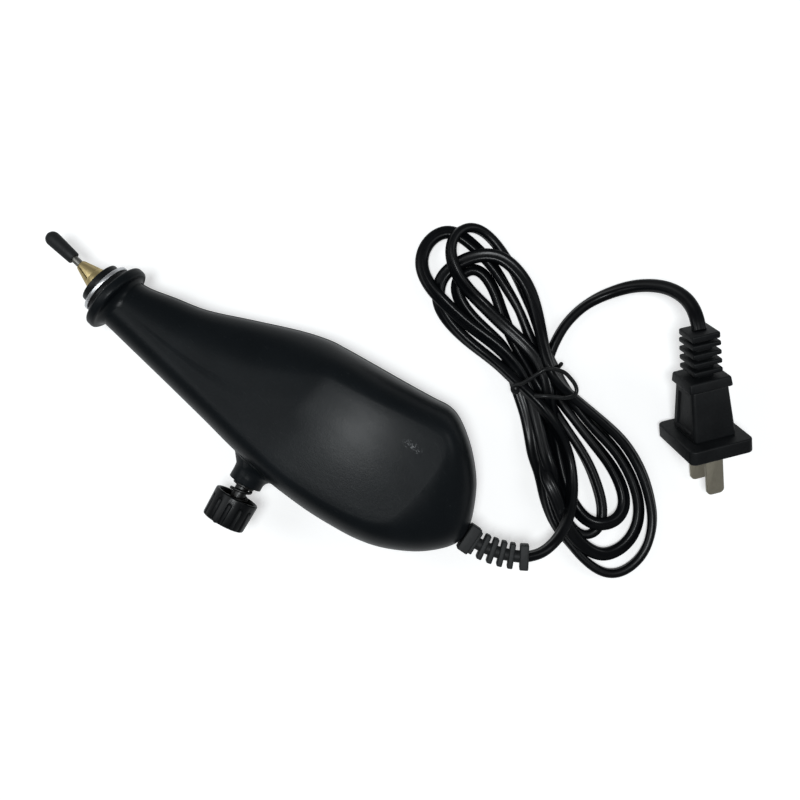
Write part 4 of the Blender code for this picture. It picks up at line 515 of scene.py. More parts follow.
def turned(profile, steps=64, edge=0.0, segments=3):
    """Extrudes a circle from ring to ring, each along and radius in mm, and rounds the edges.

    A profile whose ends are equal closes round a bore.
    """
    rings = [(along * MM, radius * MM) for along, radius in profile]
    closed = rings[0] == rings[-1]
    bpy.ops.mesh.primitive_circle_add(vertices=steps, radius=rings[0][1], fill_type="NOTHING",
                                      location=(0, 0, 0))
    piece = bpy.context.active_object
    edit_all(piece)
    bpy.ops.transform.translate(value=(0, 0, rings[0][0]))
    if not closed:
        bpy.ops.mesh.edge_face_add()
        bpy.ops.mesh.select_all(action="SELECT")
    for index, ((start, before), (end, after)) in enumerate(zip(rings, rings[1:])):
        move = {"value": (0, 0, end - start)}
        if closed or index:
            bpy.ops.mesh.extrude_edges_move(TRANSFORM_OT_translate=move)
        else:
            bpy.ops.mesh.extrude_region_move(TRANSFORM_OT_translate=move)
        ratio = after / before
        bpy.ops.transform.resize(value=(ratio, ratio, 1), center_override=(0, 0, end))
    if closed:
        bpy.ops.mesh.select_all(action="SELECT")
        bpy.ops.mesh.remove_doubles(threshold=0.001 * MM)
    done()
    facing_out(piece)
    if edge:
        rounded(piece, edge * MM, 30, segments)
    return piece


def ring_profile(low, high, inner, outer):
    return [(low, inner), (low, outer), (high, outer), (high, inner), (low, inner)]


def arc(centre, reach, first, last, steps):
    """Points in mm on an ellipse round a centre, from one angle in degrees to another."""
    angles = [math.radians(first + (last - first) * step / steps) for step in range(steps + 1)]
    return [(centre[0] + reach[0] * math.cos(angle), centre[1] + reach[1] * math.sin(angle))
            for angle in angles]


def block(low, high, size, end_size=None, rounding=0.0, segments=4):
    """A cube between two heights in mm, drawn in towards its upper end, with rounded edges."""
    middle = (low + high) / 2
    bpy.ops.mesh.primitive_cube_add(size=MM, location=(0, 0, 0))
    piece = bpy.context.active_object
    edit_all(piece)
    bpy.ops.transform.resize(value=(*size, high - low), center_override=(0, 0, 0))
    bpy.ops.transform.translate(value=(0, 0, middle * MM))
    done()
    if end_size:
        for vert in piece.data.vertices:
            vert.select = vert.co.z > middle * MM
        for item in (*piece.data.edges, *piece.data.polygons):
            item.select = all(piece.data.vertices[index].select for index in item.vertices)
        edit(piece)
        bpy.ops.transform.resize(
            value=(end_size[0] / size[0], end_size[1] / size[1], 1),
            center_override=(0, 0, high * MM))
        done()
    if rounding:
        apply_modifier(piece, "BEVEL", width=rounding * MM, segments=segments,
                       limit_method="NONE")
    return piece


def piece_of(name, mesh):
    piece = bpy.data.objects.new(name, mesh)
    bpy.context.collection.objects.link(piece)
    return piece


def loose_mesh(name, places, faces):
    """A piece from places and faces, for forms that the tools above can't shape."""
    mesh = bpy.data.meshes.new(name)
    mesh.from_pydata([tuple(place) for place in places], [], faces)
    mesh.update()
    return piece_of(name, mesh)


def curve_through(rows, spans):
    """A smooth line through rows of numbers, with its ends kept."""
    rows = np.array(rows, float)
    rows = np.vstack([2 * rows[0] - rows[1], rows, 2 * rows[-1] - rows[-2]])
    result = []
    for before, start, end, after in zip(rows, rows[1:], rows[2:], rows[3:]):
        for step in range(spans):
            t = step / spans
            result.append(0.5 * (2 * start + (end - before) * t
                                 + (2 * before - 5 * start + 4 * end - after) * t ** 2
                                 + (3 * start - before - 3 * end + after) * t ** 3))
    return np.array(result + [rows[-2]])


def evenly(points, spacing):
    """Points a steady distance apart on a dense line."""
    runs = np.linalg.norm(np.diff(points, axis=0), axis=1)
    reach = np.concatenate([[0], np.cumsum(runs)])
    wanted = np.linspace(0, reach[-1], max(2, round(reach[-1] / spacing)) + 1)
    return np.stack([np.interp(wanted, reach, points[:, axis]) for axis in range(3)], axis=1)


LEAN_KEPT = 0.15


def swept(name, points, section, turns):
    """A closed tube of a section, given as across and up, carried along points and turned."""
    points = [Vector(point) for point in points]
    count, around = len(points), len(section)
    places, up = [], Vector((0, 0, 1))
    travelled = [0.0]
    for index, point in enumerate(points):
        run = points[min(index + 1, count - 1)] - points[max(index - 1, 0)]
        run.normalize()
        up = (Vector((0, 0, 1)) - run * run.z + up * LEAN_KEPT).normalized()
        up = (up - run * up.dot(run)).normalized()
        side = run.cross(up)
        turn = turns[index]
        across = side * math.cos(turn) + up * math.sin(turn)
        above = up * math.cos(turn) - side * math.sin(turn)
        places += [point + across * x + above * y for x, y in section]
        if index:
            travelled.append(travelled[-1] + (point - points[index - 1]).length)
    faces = []
    for low in range(0, (count - 1) * around, around):
        for step in range(around):
            after = (step + 1) % around
            faces.append((low + step, low + after, low + around + after, low + around + step))
    faces.append(tuple(reversed(range(around))))
    faces.append(tuple(range((count - 1) * around, count * around)))
    piece = loose_mesh(name, places, faces)
    layer = piece.data.uv_layers.new(name="Along")
    for face in piece.data.polygons:
        steps = [piece.data.loops[index].vertex_index % around for index in face.loop_indices]
        wraps = len(face.vertices) == 4 and max(steps) - min(steps) > around / 2
        for index, step in zip(face.loop_indices, steps):
            ring = piece.data.loops[index].vertex_index // around
            share = 1.0 if wraps and step == 0 else step / around
            layer.data[index].uv = (travelled[ring] * MAP_PER_METRE, share)
    return facing_out(piece)


def wire(name, points, radius, sides=12):
    angles = [2 * math.pi * step / sides for step in range(sides)]
    section = [(radius * math.cos(angle), radius * math.sin(angle)) for angle in angles]
    return swept(name, points, section, [0.0] * len(points))


# Free cord: traced over the pen, round the hank and to the plug, in the cord's frame in mm

CORD_ROUTE = [
    (45.1, -55.1, 21.8), (47.3, -55.4, 21.4), (50.6, -54.6, 20.8), (55.8, -50.5, 19.4),
    (60.1, -43.7, 17.8), (62.1, -34.6, 16.4), (61.9, -25.7, 15.2), (60.3, -17.7, 14.2),
    (56.7, -9.5, 13.4), (52.7, -3.3, 13.8), (47.9, 1.2, 14.0), (42.3, 7.3, 12.5),
    (33.1, 15.5, 9.0), (25.2, 21.9, 6.0), (18.1, 29.3, 4.0), (14.2, 36.3, 2.6),
    (14.4, 43.8, 2.6), (17.2, 48.3, 2.6), (22.6, 51.2, 3.5), (27.5, 53.5, 5.5),
    (32.7, 54.0, 7.5), (37.6, 52.7, 8.6), (42.3, 48.6, 9.0), (46.4, 43.1, 9.0),
    (49.0, 36.8, 9.0), (51.2, 28.0, 9.0), (53.0, 18.8, 9.0), (56.0, 8.8, 9.0),
    (61.3, 3.3, 8.0), (68.3, -2.4, 6.0), (77.0, -9.7, 4.5), (84.5, -17.2, 3.0),
    (91.0, -28.8, 2.6), (94.4, -41.2, 2.6), (94.2, -49.1, 2.6), (91.6, -56.9, 2.6),
    (85.6, -62.8, 3.5), (79.0, -65.2, 4.5), (72.6, -62.9, 5.0), (66.8, -57.5, 6.0),
    (61.8, -51.1, 7.0), (57.7, -45.5, 7.5), (54.7, -37.7, 7.5), (52.6, -29.2, 7.0),
    (50.0, -18.1, 7.0), (46.9, -5.9, 7.5), (44.0, 3.0, 7.5), (41.9, 11.1, 6.5),
    (38.7, 19.0, 5.0), (32.1, 25.4, 4.0), (25.8, 31.7, 3.6), (21.7, 38.1, 3.6),
    (20.5, 43.3, 3.8), (22.8, 47.8, 4.0), (27.2, 50.0, 4.0), (31.7, 47.4, 4.0),
    (35.3, 41.4, 4.0), (38.1, 32.1, 4.0), (42.1, 22.4, 4.2), (46.9, 14.2, 4.5),
    (52.2, 5.6, 4.5), (57.0, -3.0, 4.5), (62.3, -10.8, 4.0), (70.0, -22.8, 3.0),
    (74.1, -33.3, 3.0), (75.7, -40.2, 3.0), (75.2, -47.1, 3.0), (71.4, -51.2, 3.0),
    (66.8, -50.7, 3.0), (62.5, -46.4, 3.0), (58.7, -39.3, 3.0), (56.5, -29.9, 3.0),
    (54.2, -19.4, 3.2), (51.5, -9.0, 3.8), (49.2, 0.7, 4.5), (45.3, 8.9, 6.0),
    (40.3, 15.9, 7.5), (34.7, 21.0, 8.0), (23.3, 29.6, 7.5), (15.5, 37.0, 7.0),
    (10.8, 42.7, 6.0), (8.0, 48.4, 4.5), (7.8, 53.4, 3.5), (10.5, 59.5, 2.6),
    (16.8, 63.7, 2.6), (21.7, 62.5, 2.6), (25.5, 59.5, 2.6), (29.2, 56.2, 2.6),
    (33.3, 51.7, 2.8), (37.0, 46.0, 3.0), (41.9, 38.5, 3.0), (46.4, 30.3, 3.2),
    (49.6, 21.3, 4.0), (53.3, 11.9, 4.5), (56.4, 4.1, 6.0), (59.8, -1.5, 7.5),
    (63.9, -6.3, 8.0), (70.6, -14.8, 7.5), (78.6, -24.8, 6.5), (82.8, -33.8, 6.0),
    (83.5, -39.9, 6.0), (80.1, -45.0, 6.5), (73.3, -46.6, 7.0), (68.1, -44.0, 7.0),
    (64.5, -39.3, 6.5), (61.2, -32.3, 6.0), (59.0, -24.1, 6.0), (57.1, -14.8, 6.5),
    (55.7, -5.5, 8.0), (54.8, 3.3, 9.5), (52.1, 12.8, 10.5), (46.4, 19.4, 11.5),
    (39.9, 25.6, 11.5), (31.1, 34.1, 11.0), (23.4, 42.1, 11.0), (19.4, 49.7, 10.5),
    (18.3, 56.7, 9.0), (20.3, 61.7, 7.5), (24.7, 64.6, 6.0), (29.0, 64.2, 5.0),
    (32.8, 61.5, 4.6), (36.5, 57.4, 4.6), (39.1, 53.3, 4.6), (42.5, 48.1, 4.6),
    (45.8, 41.0, 4.4), (49.2, 32.8, 4.2), (52.2, 23.9, 4.2), (55.9, 14.2, 4.5),
    (60.3, 5.2, 5.0), (65.4, -2.2, 5.5), (71.5, -9.6, 6.0), (77.1, -15.2, 6.5),
    (81.2, -20.0, 6.5), (86.1, -28.6, 6.0), (88.7, -38.2, 6.0), (88.3, -46.0, 6.0),
    (84.2, -53.4, 6.0), (76.0, -57.8, 6.5), (70.4, -56.0, 6.5), (65.7, -52.0, 6.0),
    (61.4, -45.0, 5.0), (58.6, -37.3, 4.0), (55.6, -28.0, 3.6), (53.1, -18.7, 3.4),
    (51.9, -9.3, 3.4), (51.9, -0.7, 3.4), (52.7, 6.0, 3.0), (54.2, 11.2, 3.0),
    (55.7, 16.1, 3.0), (57.9, 21.3, 3.0), (61.8, 28.1, 2.6), (68.5, 34.8, 2.6),
    (77.1, 39.5, 3.0), (86.6, 42.0, 8.0), (95.0, 40.8, 16.5), (100.4, 36.2, 24.8),
    (102.6, 30.6, 29.4),
]
TIE_ROUTE = [
    (48.4, 1.6, 17.4), (51.3, 1.4, 18.4), (54.5, 1.2, 18.4), (58.7, 0.7, 17.0),
    (61.8, 1.0, 15.0), (63.6, 1.9, 14.0), (64.2, 3.6, 13.8), (63.5, 5.7, 14.2),
    (61.8, 7.8, 15.0), (59.6, 9.8, 16.0), (56.8, 10.8, 17.5), (54.1, 11.2, 18.8),
    (51.9, 10.9, 19.2), (49.4, 9.4, 18.8), (46.5, 7.4, 17.5), (43.9, 5.9, 15.8),
    (42.0, 5.7, 15.2), (40.8, 4.6, 14.6), (41.2, 3.1, 13.6), (42.6, 2.9, 12.8),
    (43.1, 4.1, 11.0), (42.4, 4.8, 8.0), (42.3, 4.1, 4.5), (44.3, 4.3, 1.6),
    (47.8, 6.0, 0.95), (51.5, 8.3, 0.95), (55.3, 10.5, 1.0), (58.0, 12.0, 3.2),
    (58.7, 12.4, 7.0), (58.4, 12.4, 11.0), (58.7, 13.2, 13.5),
]
# How the traced line sinks: steps, fall per step in mm, stiffness and push
SETTLE_STEPS = 420
SLOW_FROM = 300
FAST_FALL, SLOW_FALL = 0.10, 0.05
SMOOTHING, STIFFNESS, SIGHT_PULL = 0.22, 0.04, 0.22
NEIGHBOURS = 5
SIDEWAYS = (0.55, 0.55, 1.0)
PUSH, LIFT = 1.6, 0.1


def settled(points, rest, spread, held_start, held_end):
    """The traced line after it has sunk until its turns lie on the table and on each other.

    The camera's view of each point is kept, weight and stiffness work along the line, and
    points of different turns push each other apart, upwards more than sideways.
    """
    place = points.copy()
    order = np.arange(len(points))
    apart = np.abs(order[:, None] - order[None, :]) > NEIGHBOURS
    free = np.minimum(order - held_start, len(points) - 1 - held_end - order)
    free = np.clip(free / 6, 0, 1)[:, None]
    for step in range(SETTLE_STEPS):
        moved = place.copy()
        moved[1:-1] += SMOOTHING * ((place[:-2] + place[2:]) / 2 - place[1:-1])
        moved[2:-2] -= STIFFNESS * (place[:-4] - 4 * place[1:-3] + 6 * place[2:-2]
                                    - 4 * place[3:-1] + place[4:])
        moved[:, 2] -= FAST_FALL if step < SLOW_FROM else SLOW_FALL
        seen = points[:, :2] * ((CAMERA_HEIGHT - moved[:, 2:]) / (CAMERA_HEIGHT - points[:, 2:]))
        moved[:, :2] += SIGHT_PULL * (seen - moved[:, :2])
        gap = moved[:, None] - moved[None, :]
        reach = np.linalg.norm(gap, axis=2) + 1e-6
        close = apart & (reach < spread)
        inside = np.where(close, spread - reach, 0)
        shift = (gap * SIDEWAYS * (inside / 2 / reach)[:, :, None]).sum(axis=1)
        shift[:, 2] += (np.where(gap[:, :, 2] >= 0, 1, -1) * inside).sum(axis=1) * LIFT
        moved += shift / np.maximum(1, close.sum(axis=1))[:, None] * PUSH
        moved[:, 2] = np.maximum(moved[:, 2], rest)
        place = place + (moved - place) * free
    return place


def twin_section(width, thickness, groove, steps=28):
    """Two round cores under one jacket: an oval with a shallow groove down each broad side."""
    section = []
    for step in range(steps):
        angle = 2 * math.pi * step / steps
        x = math.cos(angle)
        y = math.sin(angle)
        x = math.copysign(abs(x) ** 0.9, x) * width / 2
        y = math.copysign(abs(y) ** 0.72, y) * thickness / 2
        dip = groove * math.exp(-(x / (0.17 * width)) ** 2)
        section.append((x, y - math.copysign(dip, y)))
    return section


# The cord's ends along relief and plug, least distance of its turns and steps, all in mm
CORD_START, CORD_END = 22.4, -43.7
CORD_SPREAD = 4.35
ROUTE_STEP, CORD_STEP = 3.0, 1.25
HELD_AT_RELIEF, HELD_AT_PLUG = 3, 24
LINE_SMOOTHINGS, HEIGHT_SMOOTHINGS = 7, 30
# The cord's roll in degrees, and in radians the size, count and phase of the waves in it
ROLL, PLUG_ROLL, RELIEF_ROLL = 52, 4, 80
ROLL_WAVES = ((0.55, 5.3, 0.6), (0.35, 11.7, 2.1))


def cord_line(rest):
    """The cord's middle in mm in its own frame, from the relief to the plug."""
    route = evenly(curve_through(CORD_ROUTE, 12), ROUTE_STEP)
    exit_place = CORD.inverted() @ relief_place(CORD_START).translation / MM
    plug_end = CORD.inverted() @ (PLUG @ Vector((0, 0, CORD_END * MM))) / MM
    plug_run = (CORD.inverted() @ PLUG).to_3x3() @ Vector((0, 0, -1))
    line = settled(route, rest, CORD_SPREAD, HELD_AT_RELIEF, HELD_AT_PLUG)
    line = np.vstack([exit_place, line[1:-1], plug_end + plug_run * 4.5,
                      plug_end + plug_run * 0.2])
    line = evenly(curve_through(line, 6), CORD_STEP)
    for _ in range(LINE_SMOOTHINGS):
        line[1:-1] = (line[:-2] + line[2:] + 2 * line[1:-1]) / 4
    for _ in range(HEIGHT_SMOOTHINGS):
        line[1:-1, 2] = (line[:-2, 2] + line[2:, 2] + 2 * line[1:-1, 2]) / 4
    return line


def cord_turns(count):
    """How far the flat cord is rolled about its run: slow waves, eased into each end."""
    share = np.linspace(0, 1, count)
    turns = math.radians(ROLL)
    for size, waves, phase in ROLL_WAVES:
        turns = turns + size * np.sin(share * 2 * math.pi * waves + phase)
    for end_turn, ease in ((PLUG_ROLL, (share - 0.955) / 0.035),
                           (RELIEF_ROLL, 1 - share / 0.012)):
        ease = np.clip(ease, 0, 1)
        turns = turns * (1 - ease) + math.radians(end_turn) * ease
    return turns


class FINISH_OT_cord(bpy.types.Operator):
    """Free cord from the strain relief round the hank to the plug"""
    bl_idname = "engraving_pen.cord"
    bl_label = "Cord"

    def execute(self, context):
        sizes = context.scene.engraving_pen_cord
        line = cord_line(sizes.width / 2 / MM)
        turns = cord_turns(len(line))
        reach = np.hypot(sizes.width / 2 * np.sin(turns), sizes.thickness / 2 * np.cos(turns))
        line[:, 2] = np.maximum(line[:, 2], reach / MM * 1.04 + 0.06)
        section = twin_section(sizes.width, sizes.thickness, sizes.groove)
        places = [CORD @ (Vector(point) * MM) for point in line]
        piece = swept("cord", places, section, turns.tolist())
        finished(piece, "cord", "cord_jacket", ("cord_from_pen", "cord_hank", "cord_to_plug"),
                 angle=50)
        reach = sum((after - before).length for before, after in zip(places, places[1:]))
        tie = tie_wire(sizes.tie / 2)
        [tie] + [bpy.data.objects[name] for name in PLUG_PIECES]
        return {"FINISHED"}


def tie_wire(radius):
    """The wire tie round the hank's waist, with both its loose ends."""
    dense = evenly(curve_through(TIE_ROUTE, 10), 0.8)
    piece = wire("hank_tie_wire", [CORD @ (Vector(point) * MM) for point in dense], radius)
    return finished(piece, "hank_tie_wire", "tie_wire", ("hank_tie",), angle=60)


# Stage: offset from the middle of the picture, size and power of each lamp, in metres and watts
LAMPS = (((-0.075, -0.045, 0.93), 0.24, 5.1), ((0.55, 0.10, 0.55), 0.35, 0.8),
         ((-0.50, 0.10, 0.50), 0.35, 0.8))
LAMP_COLOUR = (0.95, 0.985, 1.0)
WORLD_LEVEL = 0.16
SENSOR = 36
PICTURE_WIDTH = 800
FOCAL_PIXELS = 1007.8


class FINISH_OT_stage(bpy.types.Operator):
    """Pale floor, soft lamps and the camera over the pen"""
    bl_idname = "engraving_pen.stage"
    bl_label = "Stage"

    def execute(self, context):
        nothing_selected()
        bpy.ops.mesh.primitive_plane_add(size=FLOOR_SIZE, location=(0, 0, -FLOOR_GAP))
        floor = context.active_object
        floor.name = "floor"
        floor.data.materials.append(finish("pale_floor"))
        world = bpy.data.worlds.new("studio")
        context.scene.world = world
        world.use_nodes = True
        tree = world.node_tree
        background = tree.nodes["Background"]
        background.inputs["Color"].default_value = (1, 1, 1, 1)
        light_path = tree.nodes.new("ShaderNodeLightPath")
        level = tree.nodes.new("ShaderNodeMapRange")
        level.inputs["To Min"].default_value = WORLD_LEVEL
        level.inputs["To Max"].default_value = 1.0
        tree.links.new(light_path.outputs["Is Camera Ray"], level.inputs["Value"])
        tree.links.new(level.outputs["Result"], background.inputs["Strength"])
        middle = CORD @ Vector((10 * MM, 0, 0))
        for index, (offset, size, power) in enumerate(LAMPS):
            place = middle + (CORD.to_3x3() @ Vector(offset))
            nothing_selected()
            bpy.ops.object.light_add(type="AREA", location=place)
            lamp = context.active_object
            lamp.name = f"soft_lamp_{index + 1}"
            lamp.data.shape = "DISK"
            lamp.data.size = size
            lamp.data.energy = power
            lamp.data.color = LAMP_COLOUR
            lamp.rotation_euler = (middle - place).to_track_quat("-Z", "Y").to_euler()
        bpy.ops.object.camera_add(location=(CORD.translation.x, CORD.translation.y,
                                            CAMERA_HEIGHT * MM))
        camera = context.active_object
        camera.name = "view"
        camera.rotation_euler = (0, 0, VIEW_TURN)
        camera.data.sensor_width = SENSOR
        camera.data.lens = SENSOR * FOCAL_PIXELS / PICTURE_WIDTH
        camera.data.clip_start = 0.01
        context.scene.camera = camera
        context.scene.view_settings.view_transform = "Standard"
        return {"FINISHED"}


# Housing: two halves, boss, flange and the screws' seats

# Edge and crown of each station as shares of length and width, and rise as one of the height
STATION_SHARES = [
    (0.000, 0.148, 0.000, 0.013, 0.445), (0.041, 0.166, 0.041, 0.016, 0.475),
    (0.101, 0.223, 0.108, 0.035, 0.530), (0.178, 0.295, 0.196, 0.071, 0.620),
    (0.273, 0.427, 0.298, 0.142, 0.740), (0.375, 0.567, 0.393, 0.269, 0.870),
    (0.441, 0.640, 0.460, 0.395, 0.955), (0.490, 0.673, 0.508, 0.482, 1.000),
    (0.562, 0.714, 0.582, 0.537, 1.000), (0.647, 0.761, 0.657, 0.589, 1.000),
    (0.718, 0.803, 0.724, 0.637, 1.000), (0.766, 0.832, 0.772, 0.664, 1.000),
    (0.808, 0.815, 0.799, 0.673, 1.000), (0.868, 0.744, 0.819, 0.640, 1.000),
    (0.923, 0.646, 0.833, 0.569, 1.000), (0.957, 0.555, 0.840, 0.490, 1.000),
    (0.988, 0.442, 0.843, 0.411, 1.000), (1.000, 0.362, 0.843, 0.348, 1.000),
    (0.998, 0.296, 0.842, 0.292, 1.000), (0.978, 0.209, 0.840, 0.229, 1.000),
    (0.938, 0.104, 0.833, 0.158, 1.000), (0.875, -0.002, 0.809, 0.098, 1.000),
    (0.814, -0.066, 0.768, 0.054, 1.000), (0.747, -0.107, 0.724, 0.019, 1.000),
    (0.678, -0.138, 0.664, -0.013, 1.000), (0.581, -0.163, 0.582, -0.041, 1.000),
    (0.508, -0.167, 0.521, -0.041, 0.985), (0.431, -0.166, 0.447, -0.032, 0.930),
    (0.357, -0.160, 0.366, -0.025, 0.840), (0.237, -0.155, 0.244, -0.019, 0.690),
    (0.113, -0.150, 0.115, -0.016, 0.540), (0.041, -0.147, 0.041, -0.013, 0.475),
    (0.000, -0.147, 0.000, -0.013, 0.445),
]
HOUSING_LENGTH = 147.7
HOUSING_WIDTH = 63.3
HALF_HEIGHT = 21.0
SEAM_HEIGHT = 0.15
SEAM_STEP = 0.3
CROWN_MIDDLE = (95.3, 25.8)
CROWN_DROP = 4.0
CROWN_RADIUS = 130.0
SCREW_SHARES = ((0.230, 0.213), (0.772, 0.679), (0.758, 0.024))


def housing_stations(inset, spans=5):
    """Edge, crown and rise of each station round the housing, in mm, moved in by an inset."""
    rows = curve_through(STATION_SHARES, spans)
    edge = rows[:, :2] * (HOUSING_LENGTH, HOUSING_WIDTH)
    crown = rows[:, 2:4] * (HOUSING_LENGTH, HOUSING_WIDTH)
    rise = np.minimum(rows[:, 4], 1.0) * HALF_HEIGHT
    run = np.zeros_like(edge)
    run[1:-1] = edge[2:] - edge[:-2]
    run[0], run[-1] = (1, 0), (-1, 0)
    run /= np.linalg.norm(run, axis=1)[:, None]
    edge = edge + np.stack([run[:, 1], -run[:, 0]], axis=1) * inset
    return edge, crown, rise - max(inset, 0)


def half_rings(inset, steps):
    """Rings of one half from the seam to the crown, above the seam's plane."""
    edge, crown, rise = housing_stations(inset)
    rings = []
    for step in range(steps + 1):
        angle = math.pi / 2 * step / steps
        flat = crown + (edge - crown) * math.cos(angle)
        height = np.maximum(rise * math.sin(angle), SEAM_HEIGHT * (1 + 0.2 * step))
        rings.append(np.column_stack([flat, height]))
    return rings


def crowned(rings, inner_rings=6):
    """Adds rings across the crown and lets the broad top fall off gently round its middle."""
    crown = rings[-1]
    half = len(crown) // 2
    sides = [side[np.argsort(side[:, 0])] for side in (crown[:half], crown[half:][::-1])]
    middle = sum(np.interp(crown[:, 0], side[:, 0], side[:, 1]) for side in sides) / 2
    rings = list(rings)
    for step in range(1, inner_rings):
        ring = crown.copy()
        ring[:, 1] += (middle - crown[:, 1]) * step / inner_rings
        rings.append(ring)
    result = []
    for ring in rings:
        away = ((ring[:, :2] - CROWN_MIDDLE) ** 2).sum(axis=1)
        drop = CROWN_DROP * (1 - np.exp(-away / (2 * CROWN_RADIUS * CROWN_DROP)))
        fallen = ring.copy()
        fallen[:, 2] -= drop * np.clip(ring[:, 2] / HALF_HEIGHT, 0, 1) ** 2
        result.append(fallen)
    return result


def drawn(work, rings):
    """Adds rings to a bmesh, with faces between each and the next."""
    rows = [[work.verts.new(place) for place in ring] for ring in rings]
    for low, high in zip(rows, rows[1:]):
        for index in range(len(low) - 1):
            work.faces.new((low[index], low[index + 1], high[index + 1], high[index]))
    return rows


def filled(work, ring):
    """Closes a ring of a bmesh with triangles."""
    ends = (ring[0], ring[-1])
    edges = [work.edges.get(pair) for pair in zip(ring, ring[1:])]
    edges.append(work.edges.get(ends) or work.edges.new(ends))
    bmesh.ops.triangle_fill(work, edges=edges, use_beauty=True)


def nose_end(rings):
    return [ring[0] for ring in rings] + [ring[-1] for ring in reversed(rings)]


def half_piece(name, work, side):
    """A half, drawn in mm above the seam, as an object on its own side of it."""
    bmesh.ops.recalc_face_normals(work, faces=work.faces)
    mesh = bpy.data.meshes.new(name)
    work.to_mesh(mesh)
    work.free()
    mesh.transform(Matrix.Diagonal((MM, MM, side * MM, 1)))
    if side < 0:
        mesh.flip_normals()
    return piece_of(name, mesh)


def whole_half(name, side, inset):
    """One half as a solid body without its hollow, moved in by an inset."""
    work = bmesh.new()
    rings = drawn(work, half_rings(inset, 12))
    work.faces.new(nose_end(rings))
    filled(work, rings[0])
    filled(work, rings[-1])
    return half_piece(name, work, side)


def half_housing(name, side, outset, wall):
    """One closed half with its wall, seam rim, crown and nose end."""
    work = bmesh.new()
    both = half_rings(-outset, 18), half_rings(wall, 10)
    if side > 0:
        both = [crowned(rings) for rings in both]
    outer, inner = (drawn(work, rings) for rings in both)
    filled(work, outer[-1])
    filled(work, inner[-1])
    for index in range(len(outer[0]) - 1):
        work.faces.new((outer[0][index], inner[0][index],
                        inner[0][index + 1], outer[0][index + 1]))
    work.faces.new(nose_end(outer) + [ring[-1] for ring in inner]
                   + [ring[0] for ring in reversed(inner)])
    return half_piece(name, work, side)


def skin_tree():
    """The housing's outer skin, both halves, for finding where a piece meets it."""
    places, faces = [], []
    rings = half_rings(0, 14)
    across = len(rings[0])
    for side in (1, -1):
        start = len(places)
        places += [Vector((x, y, z * side)) * MM for ring in rings for x, y, z in ring]
        for low in range(start, start + (len(rings) - 1) * across, across):
            faces += [(low + index, low + index + 1, low + across + index + 1,
                       low + across + index) for index in range(across - 1)]
    other = across * len(rings)
    faces += [(index, index + 1, other + index + 1, other + index)
              for index in range(across - 1)]
    return BVHTree.FromPolygons(places, faces)


SKIRT_RADIUS = 6.12 * MM
SKIRT_TOP = -1.2 * MM
SKIRT_SPREAD = 4.6 * MM
SKIRT_ROOT = 1.4 * MM
SKIRT_SINK = 0.04 * MM
SKIRT_PULL = 0.5
RAY_OUT, RAY_BACK = 6 * MM, 8 * MM
SKIRT_AROUND, SKIRT_ALONG = 72, 12


def boss_skirt():
    """The hollow curve from the boss's wall out to the housing's side, as a loft."""
    tree = skin_tree()
    to_pen = PEN.inverted() @ ADJUSTER
    outward = (to_pen.to_3x3() @ Vector((0, 0, 1))).normalized()
    places = []
    for step in range(SKIRT_AROUND):
        angle = 2 * math.pi * step / SKIRT_AROUND
        flat = Vector((math.cos(angle), math.sin(angle), 0))
        spoke = to_pen.to_3x3() @ flat
        upper = to_pen @ (flat * SKIRT_RADIUS + Vector((0, 0, SKIRT_TOP)))
        start = to_pen.translation + outward * RAY_OUT + spoke * (SKIRT_RADIUS + SKIRT_SPREAD)
        hit, normal, _, _ = tree.ray_cast(start, -outward)
        if hit is None:
            hit, normal, _, _ = tree.find_nearest(start - outward * RAY_BACK)
        if normal.dot(outward) < 0:
            normal = -normal
        slide = (spoke - normal * spoke.dot(normal)).normalized()
        pull = (hit - upper).length * SKIRT_PULL
        second = upper - outward * pull
        third = hit - slide * pull
        for row in range(SKIRT_ALONG + 1):
            t = row / SKIRT_ALONG
            place = ((1 - t) ** 3 * upper + 3 * (1 - t) ** 2 * t * second
                     + 3 * (1 - t) * t * t * third + t ** 3 * hit)
            places.append(place - normal * SKIRT_SINK * t)
        places.append(hit - normal * SKIRT_ROOT)
        places.append(to_pen @ (flat * SKIRT_RADIUS * 0.9 + Vector((0, 0, SKIRT_TOP - 3 * MM))))
    rows = SKIRT_ALONG + 3
    faces = []
    for step in range(SKIRT_AROUND):
        here, after = step * rows, (step + 1) % SKIRT_AROUND * rows
        for row in range(rows):
            below = (row + 1) % rows
            faces.append((here + row, here + below, after + below, after + row))
    return facing_out(loose_mesh("boss_skirt", places, faces))


BEAD = 1.2
NECK_RADIUS = 9.0
NOSE_BORE = 6.1


